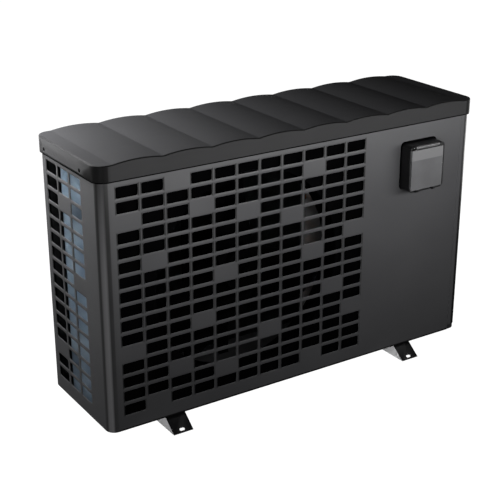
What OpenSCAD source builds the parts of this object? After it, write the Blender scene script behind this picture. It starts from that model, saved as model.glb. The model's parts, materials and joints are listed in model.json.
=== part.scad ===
// Side-discharge pool heat pump: sheet casing on two feet, fan and bent coil on the left,
// compressor, water exchanger and electrics on the right, controller under a hinged flap.
// Every module is drawn with x from the middle of the casing, y back from its front face
// and z up from the ground; unit() then puts the origin under the middle of the whole unit.

/* [Casing] */
// Width of the sheet casing
body_w = 995; // [900:1:1100]
// Depth of the sheet casing
body_d = 290; // [280:1:320]
// Height of the front panel that shows under the cover
panel_h = 570; // [566:1:640]
// Outer radius of the casing's upright corners
corner_r = 22; // [12:1:30]
// Thickness of the casing sheets
sheet_t = 1.2; // [0.8:0.1:1.5]
// How far the front panel's right seam is from the right side
seam_in = 31.5; // [24:0.5:40]
// How much higher the right panel's lower edge is than the front panel's
side_lift = 12; // [0:1:20]

/* [Top cover] */
// How far the cover stands out past the casing at each end
cover_over_x = 5.5; // [4:0.5:8]
// How far the cover stands out past the front and the back
cover_over_y = 4; // [3:0.5:8]
// Height of the cover's skirt, up to the valleys between the ridges
skirt_h = 35; // [30:1:50]
// Number of arched ridges across the cover
ridge_n = 8; // [4:1:8]
// Width of one ridge
ridge_w = 114.5; // [80:0.1:115]
// Rise of a ridge above its valleys
ridge_rise = 4.7; // [2:0.1:10]
// Wall of the cover
cover_t = 2.4; // [1.5:0.1:2.6]
// Outer radius of the cover's upright corners
cover_r = 28; // [20:1:34]

/* [Grille] */
// Slots across the front
front_cols = 11; // [6:1:11]
// Rows of slots
slot_rows = 16; // [8:1:16]
// Slots across the left side
side_cols = 3; // [1:1:3]
// Distance from slot to slot across
slot_pitch_x = 58.4; // [56:0.1:60]
// Distance from row to row
slot_pitch_z = 33; // [30:0.1:33]
// Width of a slot
slot_w = 50; // [30:0.5:52]
// Height of a slot
slot_h = 24.6; // [12:0.2:26]
// Corner radius of a slot
slot_r = 4; // [2:0.5:6]

/* [Feet] */
// Height of the casing's underside above the ground
foot_h = 38; // [34:1:60]
// Width of a foot
foot_w = 50; // [40:1:60]
// Distance between the two feet
foot_pitch = 656; // [500:1:700]
// How far a foot reaches past the casing, front and back
foot_toe = 21; // [10:1:30]
// Slope of a foot's end plates from level
foot_slope = 37; // [35:1:50]
// Thickness of the foot sheet
foot_t = 2; // [1.5:0.1:3]

/* [Controller] */
// Width of the controller box
ctrl_w = 104; // [100:1:112]
// Height of the controller box
ctrl_h = 112; // [108:1:116]
// How far the box stands out from the front panel
ctrl_d = 33; // [30:1:40]
// Place of the box's middle, across
ctrl_x = 335; // [300:1:340]
// Place of the box's top edge
ctrl_top = 563; // [520:1:563]

/* [Fan] */
// Radius of the fan over its blades
fan_r = 230; // [180:1:232]
// Place of the fan's axis, across
fan_x = -135; // [-140:1:-120]
// Height of the fan's axis
fan_z = 333; // [325:1:335]
// Radius of the motor shaft
shaft_r = 5; // [4:0.5:6]

/* [Water side] */
// Radius of the bore that takes the pool pipe
socket_r = 25.1; // [24:0.1:26]
// Depth of the bore that takes the pool pipe
socket_depth = 30; // [20:1:34]
// Height of the water inlet
inlet_z = 110; // [105:1:150]
// Height of the water outlet
outlet_z = 440; // [400:1:442]
// Place of both water ports, back from the front face
port_y = 195; // [190:1:200]
// How far the water unions stand out from the right side
union_out = 62; // [60:1:80]

/* [Hidden] */

$fn = 48;
eps = 0.5;

half_w = body_w / 2;
panel_top = foot_h + panel_h;
lap = 24;
back_return = 70;
valley_z = panel_top + skirt_h;
cover_w = body_w + 2 * cover_over_x;
cover_d = body_d + 2 * cover_over_y;
ridge_gap = 2.2;
cover_screw_y = [72, 247];
cover_screw_z = panel_top + 9;

// grille: centre of the first slot, and the cells that are left blank as [column, row]
slot_x0 = 63 - half_w;
slot_z0 = panel_top - 27;
side_y0 = 110;
front_blanks = [
    [2, 0], [8, 1], [0, 2], [3, 2], [5, 3], [7, 4], [1, 5], [10, 6], [4, 7], [8, 7],
    [3, 10], [9, 10], [0, 11], [6, 12], [10, 12], [2, 13], [4, 14], [1, 15], [8, 15]
];
side_blanks = [[0, 7], [1, 2], [2, 13]];

// base pan
pan_gap = 0.2;
pan_t = 1.5;
pan_lip = 14;
floor_z = foot_h + pan_t;
bolt_in = 85;
drain_x = -250;
drain_y = 170;
drain_r = 9;

// bays: the partition stands between the fan bay and the compressor bay
part_x = 195;
bay_top = valley_z - 5;
rear_screw_x = [part_x + 6, 460];
rear_screw_z = [80, 320, 560];

// coil: left leg, bend and back leg, seen from above
coil_t = 36;
coil_x = -half_w + 20;
coil_y = body_d - 12;
coil_in_r = 30;
coil_out_r = coil_in_r + coil_t;
coil_front = 60;
coil_right = 170;
coil_top = panel_top - 8;
plate_t = 1.5;
bend_r = 12.7;
tube_r = 4.8;
bend_z0 = 96;
bend_pitch = 50.8;
bend_count = 10;

// fan line, front to back
shroud_y = 6;
shroud_t = 2;
shroud_len = 54;
shroud_gap = 8;
blade_count = 3;
hub_r = 52;
blade_y = 26;
blade_len = 62;
blade_t = 3;
blade_pitch = 26;
motor_r = 62;
motor_y = 112;
motor_len = 84;
rail_w = 24;
rail_d = 12;
rail_gap = 96;

// compressor and its neighbours
comp = [275, 200];
comp_r = 58;
comp_foot_z = 66;
comp_top = 306;
dome_r = 90;
mount_r = 66;
stud_r = 4;
acc = [275, 100];
acc_r = 27;
valve = [275, 100, 430];
valve_r = 13;
port_gap = 20;
eev = [210, 60];
eev_r = 9;

// water exchanger
vessel = [400, port_y];
vessel_r = 64;
vessel_wall = 4;
vessel_bottom = 62;
vessel_top = 470;
pipe_r = 25;
pipe_bore = 21;
thread_r = 31;
union_face = half_w + 22;
flow_x = half_w - 18;

// electrics
tray_z = 514;
gland_y = [60, 96];
gland_z = 380;
gland_r = 10;

// controller
flap_x = ctrl_x - 5;
flap_w = 94;
flap_top_gap = 4.6;
flap_bottom = ctrl_top - 105;
flap_t = 2.8;
flap_out = 40;
hinge_y = -ctrl_d - 4;
hinge_z = ctrl_top - 2;
hinge_r = 3.5;
flap_pin_r = 1.5;
ear_r = 3.9;
bezel_y = 3.5 - ctrl_d;
seal_top = 10.4;
button_r = 5;
button_z = ctrl_top - 84;
button_x = [-27, -9, 9, 27];

// how far the whole unit reaches past the casing, so that the origin is under its middle
unit_x = -(union_out - cover_over_x) / 2;
unit_y = -(body_d + foot_toe - ctrl_d - 4 - ear_r) / 2;

module unit()
{
    translate([unit_x, unit_y, 0])
        children();
}

// ---------- shared shapes ----------

// rectangle with round corners, centred across, from y0 to y0 + d
module round_plate(w, d, r, y0 = 0)
{
    translate([-w / 2 + r, y0])
        square([w - 2 * r, d]);
    translate([-w / 2, y0 + r])
        square([w, d - 2 * r]);
    for (x = [-w / 2 + r, w / 2 - r], y = [y0 + r, y0 + d - r])
        translate([x, y])
            circle(r);
}

module slot_2d()
{
    translate([0, -slot_h / 2])
        round_plate(slot_w, slot_h, slot_r);
}

// rod along x, y or z from a point
module rod_x(p, r, l) { translate(p) rotate([0, 90, 0]) cylinder(r = r, h = l); }
module rod_y(p, r, l) { translate(p) rotate([-90, 0, 0]) cylinder(r = r, h = l); }
module rod_z(p, r, l) { translate(p) cylinder(r = r, h = l); }

// the casing's sheet wall seen from above
module wall_2d()
{
    difference()
    {
        round_plate(body_w, body_d, corner_r);
        round_plate(body_w - 2 * sheet_t, body_d - 2 * sheet_t, corner_r - sheet_t, sheet_t);
    }
}

// unit vector from a to b
function dir(a, b) = (b - a) / norm(b - a);

// one straight run of pipe
module run(a, b, r)
{
    d = b - a;
    translate(a)
        rotate([0, acos(d[2] / norm(d)), atan2(d[1], d[0])])
            cylinder(r = r, h = norm(d));
}

// quarter bend at a corner, from the run that arrives along u to the one that leaves along v
module quarter(corner, u, v, r, bend)
{
    w = cross(u, v);
    c = corner - u * bend + v * bend;
    multmatrix([
        [-v[0], u[0], w[0] * -1, c[0]],
        [-v[1], u[1], w[1] * -1, c[1]],
        [-v[2], u[2], w[2] * -1, c[2]],
        [0, 0, 0, 1]
    ])
        rotate_extrude(angle = 90)
            translate([bend, 0])
                circle(r);
}

// pipe through points whose runs meet at right angles
module pipe(points, r, bend)
{
    n = len(points);
    for (i = [0 : n - 2])
    {
        u = dir(points[i], points[i + 1]);
        a = points[i] + u * (i == 0 ? 0 : bend);
        b = points[i + 1] - u * (i == n - 2 ? 0 : bend);
        if (norm(b - a) > 0.01)
            run(a, b, r);
    }
    for (i = [1 : 1 : n - 2])
        quarter(points[i], dir(points[i - 1], points[i]), dir(points[i], points[i + 1]), r, bend);
}

// ---------- casing ----------

module base_pan()
{
    w = body_w - 2 * (sheet_t + pan_gap);
    d = body_d - 2 * (sheet_t + pan_gap);
    r = corner_r - sheet_t - pan_gap;
    y0 = sheet_t + pan_gap;
    unit() color([0.10, 0.10, 0.105])
        difference()
        {
            translate([0, 0, foot_h])
                linear_extrude(pan_lip)
                    round_plate(w, d, r, y0);
            translate([0, 0, floor_z])
                linear_extrude(pan_lip)
                    round_plate(w - 2 * sheet_t, d - 2 * sheet_t, r - sheet_t, y0 + sheet_t);
            rod_z([drain_x, drain_y, foot_h - eps], drain_r, 4);
            for (s = [-1, 1], y = [bolt_in, body_d - bolt_in])
                rod_z([s * foot_pitch / 2, y, foot_h - eps], stud_r, 4);
        }
}

// side view of a foot: y along, z up
module foot_2d(inset = 0)
{
    run = foot_h / tan(foot_slope);
    side = inset / sin(foot_slope);
    polygon([
        [-foot_toe + side, -inset * 10],
        [body_d + foot_toe - side, -inset * 10],
        [body_d + foot_toe - side, 0],
        [body_d + foot_toe - run + inset * (1 / tan(foot_slope) - 1 / sin(foot_slope)), foot_h - inset],
        [-foot_toe + run - inset * (1 / tan(foot_slope) - 1 / sin(foot_slope)), foot_h - inset],
        [-foot_toe + side, 0]
    ]);
}

module foot(x)
{
    slot_up = 9;
    unit() color([0.09, 0.09, 0.095])
        translate([x, 0, 0])
            difference()
            {
                translate([-foot_w / 2, 0, 0])
                    rotate([90, 0, 90])
                        linear_extrude(foot_w)
                            foot_2d();
                translate([-foot_w / 2 + foot_t, 0, 0])
                    rotate([90, 0, 90])
                        linear_extrude(foot_w - 2 * foot_t)
                            foot_2d(foot_t);
                for (s = [0, 1])
                    translate([0, s * body_d, 0])
                        mirror([0, s, 0])
                            translate([0, -foot_toe, 0])
                                rotate([foot_slope, 0, 0])
                                    translate([0, slot_up, -6])
                                        linear_extrude(12)
                                            translate([0, -3.5])
                                                round_plate(13, 7, 3.4);
                for (y = [bolt_in, body_d - bolt_in])
                    rod_z([0, y, foot_h - 5], stud_r, 10);
            }
}

module foot_left() { foot(-foot_pitch / 2); }
module foot_right() { foot(foot_pitch / 2); }

module foot_bolts()
{
    unit() color([0.55, 0.56, 0.57])
        for (s = [-1, 1], y = [bolt_in, body_d - bolt_in])
            translate([s * foot_pitch / 2, y, foot_h - foot_t])
            {
                translate([0, 0, -5])
                    cylinder(r = 7.5, h = 5, $fn = 6);
                cylinder(r = stud_r, h = foot_t + pan_t + 3);
                translate([0, 0, foot_t + pan_t])
                    cylinder(r = 7.5, h = 6, $fn = 6);
            }
}

module front_slots()
{
    for (c = [0 : front_cols - 1], r = [0 : slot_rows - 1])
        if (len([for (b = front_blanks) if (b == [c, r]) b]) == 0)
            translate([slot_x0 + c * slot_pitch_x, slot_z0 - r * slot_pitch_z])
                slot_2d();
}

module side_slots()
{
    for (c = [0 : side_cols - 1], r = [0 : slot_rows - 1])
        if (len([for (b = side_blanks) if (b == [c, r]) b]) == 0)
            translate([side_y0 + c * slot_pitch_x, slot_z0 - r * slot_pitch_z])
                slot_2d();
}

module front_panel()
{
    unit() color([0.16, 0.16, 0.165])
        difference()
        {
            translate([0, 0, foot_h])
                linear_extrude(panel_h + lap)
                    intersection()
                    {
                        wall_2d();
                        union()
                        {
                            translate([-half_w - eps, -eps])
                                square([body_w - seam_in - 0.2 + eps, corner_r + eps]);
                            translate([-half_w - eps, 0])
                                square([corner_r + back_return, body_d + eps]);
                        }
                    }
            translate([0, sheet_t + 2, 0])
                rotate([90, 0, 0])
                    linear_extrude(sheet_t + 4)
                        front_slots();
            translate([-half_w - 2, 0, 0])
                rotate([90, 0, 90])
                    linear_extrude(sheet_t + 4)
                        side_slots();
            for (y = cover_screw_y)
                rod_x([-half_w - eps, y, cover_screw_z], 1.8, 4);
            rod_y([ctrl_x, -eps, ctrl_top - ctrl_h / 2], 8, 4);
        }
}

module right_panel()
{
    unit() color([0.15, 0.15, 0.155])
        difference()
        {
            translate([0, 0, foot_h + side_lift])
                linear_extrude(panel_h + lap - side_lift)
                    intersection()
                    {
                        wall_2d();
                        translate([half_w - seam_in, -eps])
                            square([seam_in + eps, body_d - corner_r - 3 + eps]);
                    }
            for (z = [inlet_z, outlet_z])
                rod_x([half_w - 3, port_y, z], pipe_r, 5);
            for (y = gland_y)
                rod_x([half_w - 3, y, gland_z], gland_r, 5);
            translate([half_w - 3, 40, gland_z + 45])
                cube([5, 76, 96]);
            for (y = cover_screw_y)
                rod_x([half_w - 3, y, cover_screw_z], 1.8, 4);
        }
}

module rear_panel()
{
    unit() color([0.15, 0.15, 0.155])
        difference()
        {
            translate([0, 0, foot_h])
                linear_extrude(panel_h + lap)
                    intersection()
                    {
                        wall_2d();
                        translate([part_x - 8, body_d - corner_r - 2.8])
                            square([half_w - part_x + 8 + eps, corner_r + 3.8]);
                    }
            for (x = rear_screw_x, z = rear_screw_z)
                rod_y([x, body_d - 3, z], 1.8, 5);
        }
}

module rear_guard()
{
    left = -half_w + corner_r + back_return + 0.4;
    right = part_x - 8.4;
    w = right - left;
    h = panel_h + lap;
    edge = 9;
    cols = 27;
    rows = 6;
    bar = 2.4;
    cell_w = (w - 2 * edge + bar) / cols;
    cell_h = (h - 2 * edge + bar) / rows;
    unit() color([0.08, 0.08, 0.085])
        translate([left, body_d, foot_h])
            rotate([90, 0, 0])
                linear_extrude(sheet_t)
                    difference()
                    {
                        square([w, h]);
                        for (i = [0 : cols - 1], j = [0 : rows - 1])
                            translate([edge + i * cell_w, edge + j * cell_h])
                                square([cell_w - bar, cell_h - bar]);
                    }
}

// the ridged top seen from the front, lowered by drop; a narrow flat valley parts the arcs
module ridges_2d(drop)
{
    arc_r = (ridge_w * ridge_w / 4 + ridge_rise * ridge_rise) / (2 * ridge_rise);
    pitch = ridge_w + ridge_gap;
    base = panel_top - 10;
    translate([-cover_w, base])
        square([2 * cover_w, valley_z - base - drop]);
    for (i = [0 : ridge_n - 1])
        translate([(i - (ridge_n - 1) / 2) * pitch, valley_z - drop])
            intersection()
            {
                translate([0, ridge_rise - arc_r])
                    circle(arc_r, $fn = 360);
                translate([-pitch, -1])
                    square([2 * pitch, ridge_rise + 2]);
            }
}

module cover_block(inset, bottom)
{
    intersection()
    {
        translate([0, 0, bottom])
            linear_extrude(valley_z + 40 - bottom)
                round_plate(cover_w - 2 * inset, cover_d - 2 * inset, cover_r - inset, inset - cover_over_y);
        translate([0, body_d + 20, 0])
            rotate([90, 0, 0])
                linear_extrude(body_d + 40)
                    ridges_2d(inset);
    }
}

module top_cover()
{
    unit() color([0.17, 0.17, 0.175])
        difference()
        {
            cover_block(0, panel_top);
            cover_block(cover_t, panel_top - 8);
            for (s = [-1, 1], y = cover_screw_y)
                rod_x([s * half_w - 10, y, cover_screw_z], 3.6, 20);
        }
}

module cover_screws()
{
    unit() color([0.30, 0.30, 0.31])
        for (s = [-1, 1], y = cover_screw_y)
            translate([s * half_w, y, cover_screw_z])
                rotate([0, s * 90, 0])
                {
                    cylinder(r = 3.3, h = 3.6);
                    translate([0, 0, -8])
                        cylinder(r = 1.8, h = 8);
                }
}

module panel_screws()
{
    unit() color([0.30, 0.30, 0.31])
        for (x = rear_screw_x, z = rear_screw_z)
            translate([x, body_d, z])
                rotate([-90, 0, 0])
                {
                    cylinder(r = 4.5, h = 2.2);
                    translate([0, 0, -8])
                        cylinder(r = 1.8, h = 8);
                }
}

module partition_plate()
{
    unit() color([0.62, 0.63, 0.64])
        difference()
        {
            translate([part_x, 6, floor_z])
                cube([sheet_t, body_d - 17, bay_top - floor_z - 12]);
            for (z = [bend_z0 + bend_pitch / 2, bend_z0 + 5.5 * bend_pitch])
                rod_x([part_x - 2, 262, z], 9, 6);
        }
}

module drain_elbow()
{
    unit() color([0.12, 0.12, 0.12])
        translate([drain_x, drain_y, 0])
            difference()
            {
                union()
                {
                    rod_z([0, 0, foot_h - 26], drain_r, 26 + pan_t);
                    rod_z([0, 0, foot_h - 4], drain_r + 4, 4);
                    rod_z([0, 0, foot_h - 18], drain_r + 1, 3);
                    rod_z([0, 0, foot_h - 25], drain_r + 1, 3);
                }
                rod_z([0, 0, foot_h - 30], drain_r - 2.5, 40);
            }
}

// ---------- air side ----------

module fan_shroud()
{
    left = coil_x - 6;
    right = part_x - 2;
    orifice = fan_r + shroud_gap;
    unit() color([0.07, 0.07, 0.075])
        difference()
        {
            union()
            {
                translate([left, shroud_y, floor_z])
                    cube([right - left, shroud_t, panel_top - 4 - floor_z]);
                rod_y([fan_x, shroud_y, fan_z], orifice + 2, shroud_len);
            }
            rod_y([fan_x, shroud_y - 5, fan_z], orifice, shroud_len + 10);
        }
}

module blade()
{
    intersection()
    {
        rotate([-90, 0, 0])
            difference()
            {
                translate([0, 0, 3])
                    cylinder(r = fan_r, h = blade_len - 4, $fn = 96);
                translate([0, 0, -1])
                    cylinder(r = hub_r - 1, h = blade_len + 2);
            }
        translate([fan_r / 2 + 20, blade_len / 2, 0])
            rotate([blade_pitch, 0, 0])
                cube([fan_r, blade_t, 190], center = true);
    }
}

module fan_rotor()
{
    unit() color([0.08, 0.08, 0.085])
        translate([fan_x, blade_y, fan_z])
            difference()
            {
                union()
                {
                    rod_y([0, 0, 0], hub_r, blade_len);
                    for (i = [0 : blade_count - 1])
                        rotate([0, i * 360 / blade_count + 20, 0])
                            blade();
                }
                rod_y([0, 4, 0], hub_r - 4, blade_len);
                rod_y([0, -1, 0], shaft_r, blade_len);
            }
}

module fan_nut()
{
    unit() color([0.62, 0.62, 0.60])
        translate([fan_x, blade_y - 9, fan_z])
            difference()
            {
                rod_y([0, 0, 0], 10, 9, $fn = 6);
                rod_y([0, -1, 0], shaft_r, 12);
            }
}

module motor_shaft()
{
    unit() color([0.70, 0.71, 0.72])
        rod_y([fan_x, blade_y - 14, fan_z], shaft_r, motor_y + 22 - blade_y + 14);
}

module fan_motor()
{
    unit() color([0.33, 0.34, 0.36])
        translate([fan_x, motor_y, fan_z])
            difference()
            {
                union()
                {
                    rod_y([0, 0, 0], 22, 10);
                    rod_y([0, 8, 0], motor_r - 6, 12);
                    rod_y([0, 18, 0], motor_r, motor_len - 30);
                    rod_y([0, motor_len - 14, 0], motor_r - 8, 10);
                    for (s = [-1, 1])
                        translate([s * 52 - 14, motor_len - 4, s > 0 ? -52 : -52])
                            cube([28, 4, 104]);
                    translate([-50, motor_len - 6, -20])
                        cube([100, 6, 40]);
                }
                rod_y([0, -1, 0], shaft_r + 0.05, 26);
            }
}

module motor_bracket()
{
    y0 = motor_y + motor_len;
    unit() color([0.60, 0.61, 0.62])
        for (s = [-1, 1])
            translate([fan_x + s * rail_gap / 2 - rail_w / 2, y0, floor_z])
                difference()
                {
                    cube([rail_w, rail_d, bay_top - floor_z - 12]);
                    translate([2, 2, -1])
                        cube([rail_w - 4, rail_d, bay_top]);
                }
}

module coil_2d()
{
    corner = [coil_x + coil_out_r, coil_y - coil_out_r];
    translate([coil_x, coil_front])
        square([coil_t, corner[1] - coil_front]);
    translate([corner[0], coil_y - coil_t])
        square([coil_right - corner[0], coil_t]);
    intersection()
    {
        difference()
        {
            translate(corner)
                circle(coil_out_r);
            translate(corner)
                circle(coil_in_r);
        }
        translate([coil_x - 1, corner[1]])
            square([coil_out_r + 1, coil_out_r + 1]);
    }
}

module fin_pack()
{
    unit() color([0.55, 0.62, 0.66])
        translate([0, 0, floor_z + 5])
            linear_extrude(coil_top - floor_z - 5)
                coil_2d();
}

module coil_end_plates()
{
    unit() color([0.66, 0.67, 0.68])
    {
        translate([coil_x - 4, coil_front - plate_t, floor_z])
            cube([coil_t + 8, plate_t, coil_top - floor_z + 2]);
        translate([coil_right, coil_y - coil_t - 4, floor_z])
            cube([plate_t, coil_t + 8, coil_top - floor_z + 2]);
    }
}

module half_bend()
{
    rotate_extrude(angle = 180)
        translate([bend_r, 0])
            circle(tube_r);
}

module return_bends()
{
    unit() color([0.72, 0.42, 0.28])
        for (i = [0 : bend_count - 1])
        {
            translate([coil_x + coil_t / 2, coil_front - plate_t, bend_z0 + i * bend_pitch])
                rotate([0, 90, 180])
                    half_bend();
            translate([coil_right + plate_t, coil_y - coil_t / 2, bend_z0 + i * bend_pitch])
                rotate([0, 90, -90])
                    half_bend();
        }
}

// ---------- refrigerant circuit ----------

module dome(r, z, up)
{
    h = dome_r - sqrt(dome_r * dome_r - r * r);
    intersection()
    {
        translate([0, 0, up ? z + h - dome_r : z - h + dome_r])
            sphere(dome_r);
        translate([0, 0, up ? z - 1 : z - h - 1])
            cylinder(r = r, h = h + 2);
    }
}

module lobes(r, z, h)
{
    for (a = [30, 150, 270])
        translate([mount_r * cos(a), mount_r * sin(a), z])
            cylinder(r = r, h = h);
}

module compressor()
{
    unit() color([0.08, 0.08, 0.085])
        translate([comp[0], comp[1], 0])
            difference()
            {
                union()
                {
                    rod_z([0, 0, comp_foot_z + 20], comp_r, comp_top - comp_foot_z - 20);
                    dome(comp_r, comp_foot_z + 20, false);
                    dome(comp_r, comp_top, true);
                    rod_z([0, 0, comp_foot_z], comp_r - 6, 16);
                    rod_z([0, 0, comp_foot_z], comp_r - 2, 3);
                    lobes(12, comp_foot_z, 3);
                    rod_z([0, 0, comp_top], 5, 40);
                    rod_z([-30, 0, comp_top], 15, 24);
                }
                lobes(stud_r, comp_foot_z - 1, 5);
            }
}

module compressor_grommets()
{
    unit() color([0.10, 0.10, 0.10])
        translate([comp[0], comp[1], 0])
            difference()
            {
                union()
                {
                    lobes(10, floor_z, comp_foot_z - floor_z);
                    lobes(12, floor_z, 6);
                    lobes(12, comp_foot_z - 6, 6);
                }
                lobes(stud_r, floor_z - 1, comp_foot_z);
            }
}

module compressor_bolts()
{
    unit() color([0.62, 0.62, 0.60])
        translate([comp[0], comp[1], 0])
        {
            lobes(stud_r, floor_z, comp_foot_z - floor_z + 16);
            lobes(8, comp_foot_z + 3, 6, $fn = 6);
        }
}

module terminal_cap()
{
    unit() color([0.14, 0.14, 0.14])
        translate([comp[0] - 30, comp[1], comp_top + 24])
            difference()
            {
                union()
                {
                    cylinder(r = 18, h = 20);
                    translate([-5, -5, 20])
                        cube([10, 10, 3]);
                }
                translate([0, 0, -1])
                    cylinder(r = 15, h = 17);
            }
}

module accumulator()
{
    top = 280;
    unit() color([0.09, 0.09, 0.095])
    {
        translate([acc[0], acc[1], 0])
        {
            rod_z([0, 0, 130], acc_r, top - 130);
            rod_z([0, 0, 122], acc_r - 5, 9);
            rod_z([0, 0, top - 1], acc_r - 5, 9);
            rod_z([0, 0, top], 6.35, 30);
        }
        pipe([[acc[0], acc[1], 123], [acc[0], acc[1], 100], [acc[0], comp[1] - comp_r, 100]], 6, 14);
        translate([acc[0] - 8, acc[1] + acc_r - 2, 220])
            cube([16, comp[1] - comp_r - acc[1] - acc_r + 1.9, 20]);
    }
}

module four_way_valve()
{
    unit() color([0.75, 0.58, 0.30])
        translate(valve)
        {
            rod_x([-44, 0, 0], valve_r, 88);
            rod_z([0, 0, 0], 6.35, 28);
            for (i = [-1 : 1])
                rod_z([i * port_gap, 0, -28], 6.35, 28);
        }
}

module valve_coils()
{
    unit() color([0.12, 0.12, 0.13])
    {
        difference()
        {
            translate([valve[0] + 46, valve[1] - 16, valve[2] - 16])
                cube([30, 32, 32]);
            rod_x([valve[0] + 45, valve[1], valve[2]], 5, 32);
        }
        rod_z([eev[0], eev[1], 140], 12.5, 22);
    }
}

module expansion_valve()
{
    z = bend_z0 + bend_pitch / 2;
    unit() color([0.75, 0.58, 0.30])
    {
        rod_z([eev[0], eev[1], z - 15], eev_r, 140 - z + 15);
        rod_z([eev[0], eev[1], z - 25], tube_r, 12);
        rod_y([eev[0], eev[1], z], tube_r, 16);
    }
}

module discharge_pipe()
{
    unit() color([0.72, 0.42, 0.28])
        pipe([
            [comp[0], comp[1], comp_top + 40],
            [comp[0], comp[1], 484],
            [comp[0], valve[1], 484],
            [comp[0], valve[1], valve[2] + 28]
        ], 5, 16);
}

module suction_pipe()
{
    unit() color([0.72, 0.42, 0.28])
        rod_z([acc[0], acc[1], 310], 6.35, valve[2] - 28 - 310);
}

module evaporator_pipe()
{
    z = bend_z0 + 5.5 * bend_pitch;
    unit() color([0.72, 0.42, 0.28])
        pipe([
            [valve[0] - port_gap, valve[1], valve[2] - 28],
            [valve[0] - port_gap, valve[1], z],
            [valve[0] - port_gap, 262, z],
            [coil_right + plate_t, 262, z]
        ], 6.35, 16);
}

module condenser_pipe()
{
    z = 500;
    unit() color([0.72, 0.42, 0.28])
        pipe([
            [valve[0] + port_gap, valve[1], valve[2] - 28],
            [valve[0] + port_gap, valve[1], 380],
            [vessel[0] - 16, valve[1], 380],
            [vessel[0] - 16, valve[1], z],
            [vessel[0] - 16, vessel[1], z],
            [vessel[0] - 16, vessel[1], vessel_top + 10]
        ], 6.35, 16);
}

module liquid_pipe()
{
    z = bend_z0 + bend_pitch / 2;
    unit() color([0.72, 0.42, 0.28])
    {
        pipe([
            [vessel[0], vessel[1] - vessel_r - 12, 84],
            [vessel[0], eev[1], 84],
            [eev[0], eev[1], 84],
            [eev[0], eev[1], z - 25]
        ], tube_r, 12);
        pipe([
            [eev[0], eev[1] + 16, z],
            [eev[0], 262, z],
            [coil_right + plate_t, 262, z]
        ], tube_r, 12);
    }
}

// ---------- water side ----------

module exchanger_vessel()
{
    unit() color([0.14, 0.14, 0.145])
        translate([vessel[0], vessel[1], 0])
            difference()
            {
                union()
                {
                    rod_z([0, 0, floor_z], vessel_r - 16, vessel_bottom - floor_z + 4);
                    rod_z([0, 0, vessel_bottom], vessel_r, vessel_top - vessel_bottom);
                    rod_z([-16, 0, vessel_top - 2], 9, 12);
                    rod_y([0, -vessel_r - 12, 84], 8, 20);
                }
                rod_z([0, 0, vessel_bottom + vessel_wall], vessel_r - vessel_wall,
                      vessel_top - vessel_bottom - 2 * vessel_wall);
                for (z = [inlet_z, outlet_z])
                    rod_x([vessel_r - 20, 0, z], pipe_r, 40);
            }
}

// points of a ring of the coil tube at turn angle a
coil_r = 42;
coil_tube = 6;
coil_turns = 9;
coil_steps = 20;
coil_sides = 8;
coil_z0 = 150;
coil_rise = 28;
function helix_ring(a) = [
    for (k = [0 : coil_sides - 1])
        let (b = k * 360 / coil_sides, r = coil_r + coil_tube * cos(b))
            [r * cos(a), r * sin(a), coil_z0 + coil_rise * a / 360 + coil_tube * sin(b)]
];

module titanium_coil()
{
    rings = coil_turns * coil_steps;
    points = [for (i = [0 : rings]) each helix_ring(i * 360 / coil_steps)];
    sides = [
        for (i = [0 : rings - 1], k = [0 : coil_sides - 1])
            let (k2 = (k + 1) % coil_sides, a = i * coil_sides, b = a + coil_sides)
                each [[a + k, a + k2, b + k], [a + k2, b + k2, b + k]]
    ];
    first = [for (k = [coil_sides - 1 : -1 : 0]) k];
    last = [for (k = [0 : coil_sides - 1]) rings * coil_sides + k];
    unit() color([0.60, 0.60, 0.62])
        translate([vessel[0], vessel[1], 0])
            polyhedron(points, concat([first], sides, [last]), convexity = 10);
}

module water_pipe(z)
{
    difference()
    {
        union()
        {
            rod_x([vessel[0] + vessel_r - 12, port_y, z], pipe_r, half_w - vessel[0] - vessel_r + 12 + 3);
            rod_x([half_w + 1, port_y, z], thread_r, 21);
        }
        rod_x([vessel[0], port_y, z], pipe_bore, 200);
    }
}

module inlet_pipe()
{
    unit() color([0.16, 0.16, 0.165])
        water_pipe(inlet_z);
}

module outlet_pipe()
{
    unit() color([0.16, 0.16, 0.165])
        difference()
        {
            water_pipe(outlet_z);
            rod_z([flow_x, port_y, outlet_z], 11, 40);
        }
}

module union_nut(z)
{
    lug_n = 8;
    unit() color([0.13, 0.13, 0.135])
        translate([half_w + 6, port_y, z])
            difference()
            {
                union()
                {
                    rod_x([0, 0, 0], 38, 28);
                    for (i = [0 : lug_n - 1])
                        rotate([i * 360 / lug_n, 0, 0])
                            translate([0, -4, 30])
                                cube([28, 8, 11]);
                }
                rod_x([-1, 0, 0], thread_r + 0.3, 24.6);
                rod_x([-1, 0, 0], socket_r + 3.7, 40);
            }
}

module inlet_union_nut() { union_nut(inlet_z); }
module outlet_union_nut() { union_nut(outlet_z); }

module union_sockets()
{
    unit() color([0.20, 0.20, 0.21])
        for (z = [inlet_z, outlet_z])
            translate([union_face, port_y, z])
                difference()
                {
                    union()
                    {
                        rod_x([0, 0, 0], thread_r, 7);
                        rod_x([0, 0, 0], socket_r + 3.4, half_w + union_out - union_face);
                    }
                    rod_x([-1, 0, 0], pipe_bore, 80);
                    rod_x([half_w + union_out - union_face - socket_depth, 0, 0], socket_r, 80);
                }
}

module flow_switch()
{
    unit() color([0.12, 0.12, 0.13])
        translate([flow_x, port_y, outlet_z])
        {
            rod_z([0, 0, 20], 11, 14);
            translate([-11, -15, 34])
                cube([22, 30, 32]);
            for (s = [-1, 1])
                translate([-2.5, s * 8 - 0.75, 11])
                    cube([5, 1.5, 10]);
            rod_y([0, -8, 14], 1, 16);
        }
}

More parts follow.
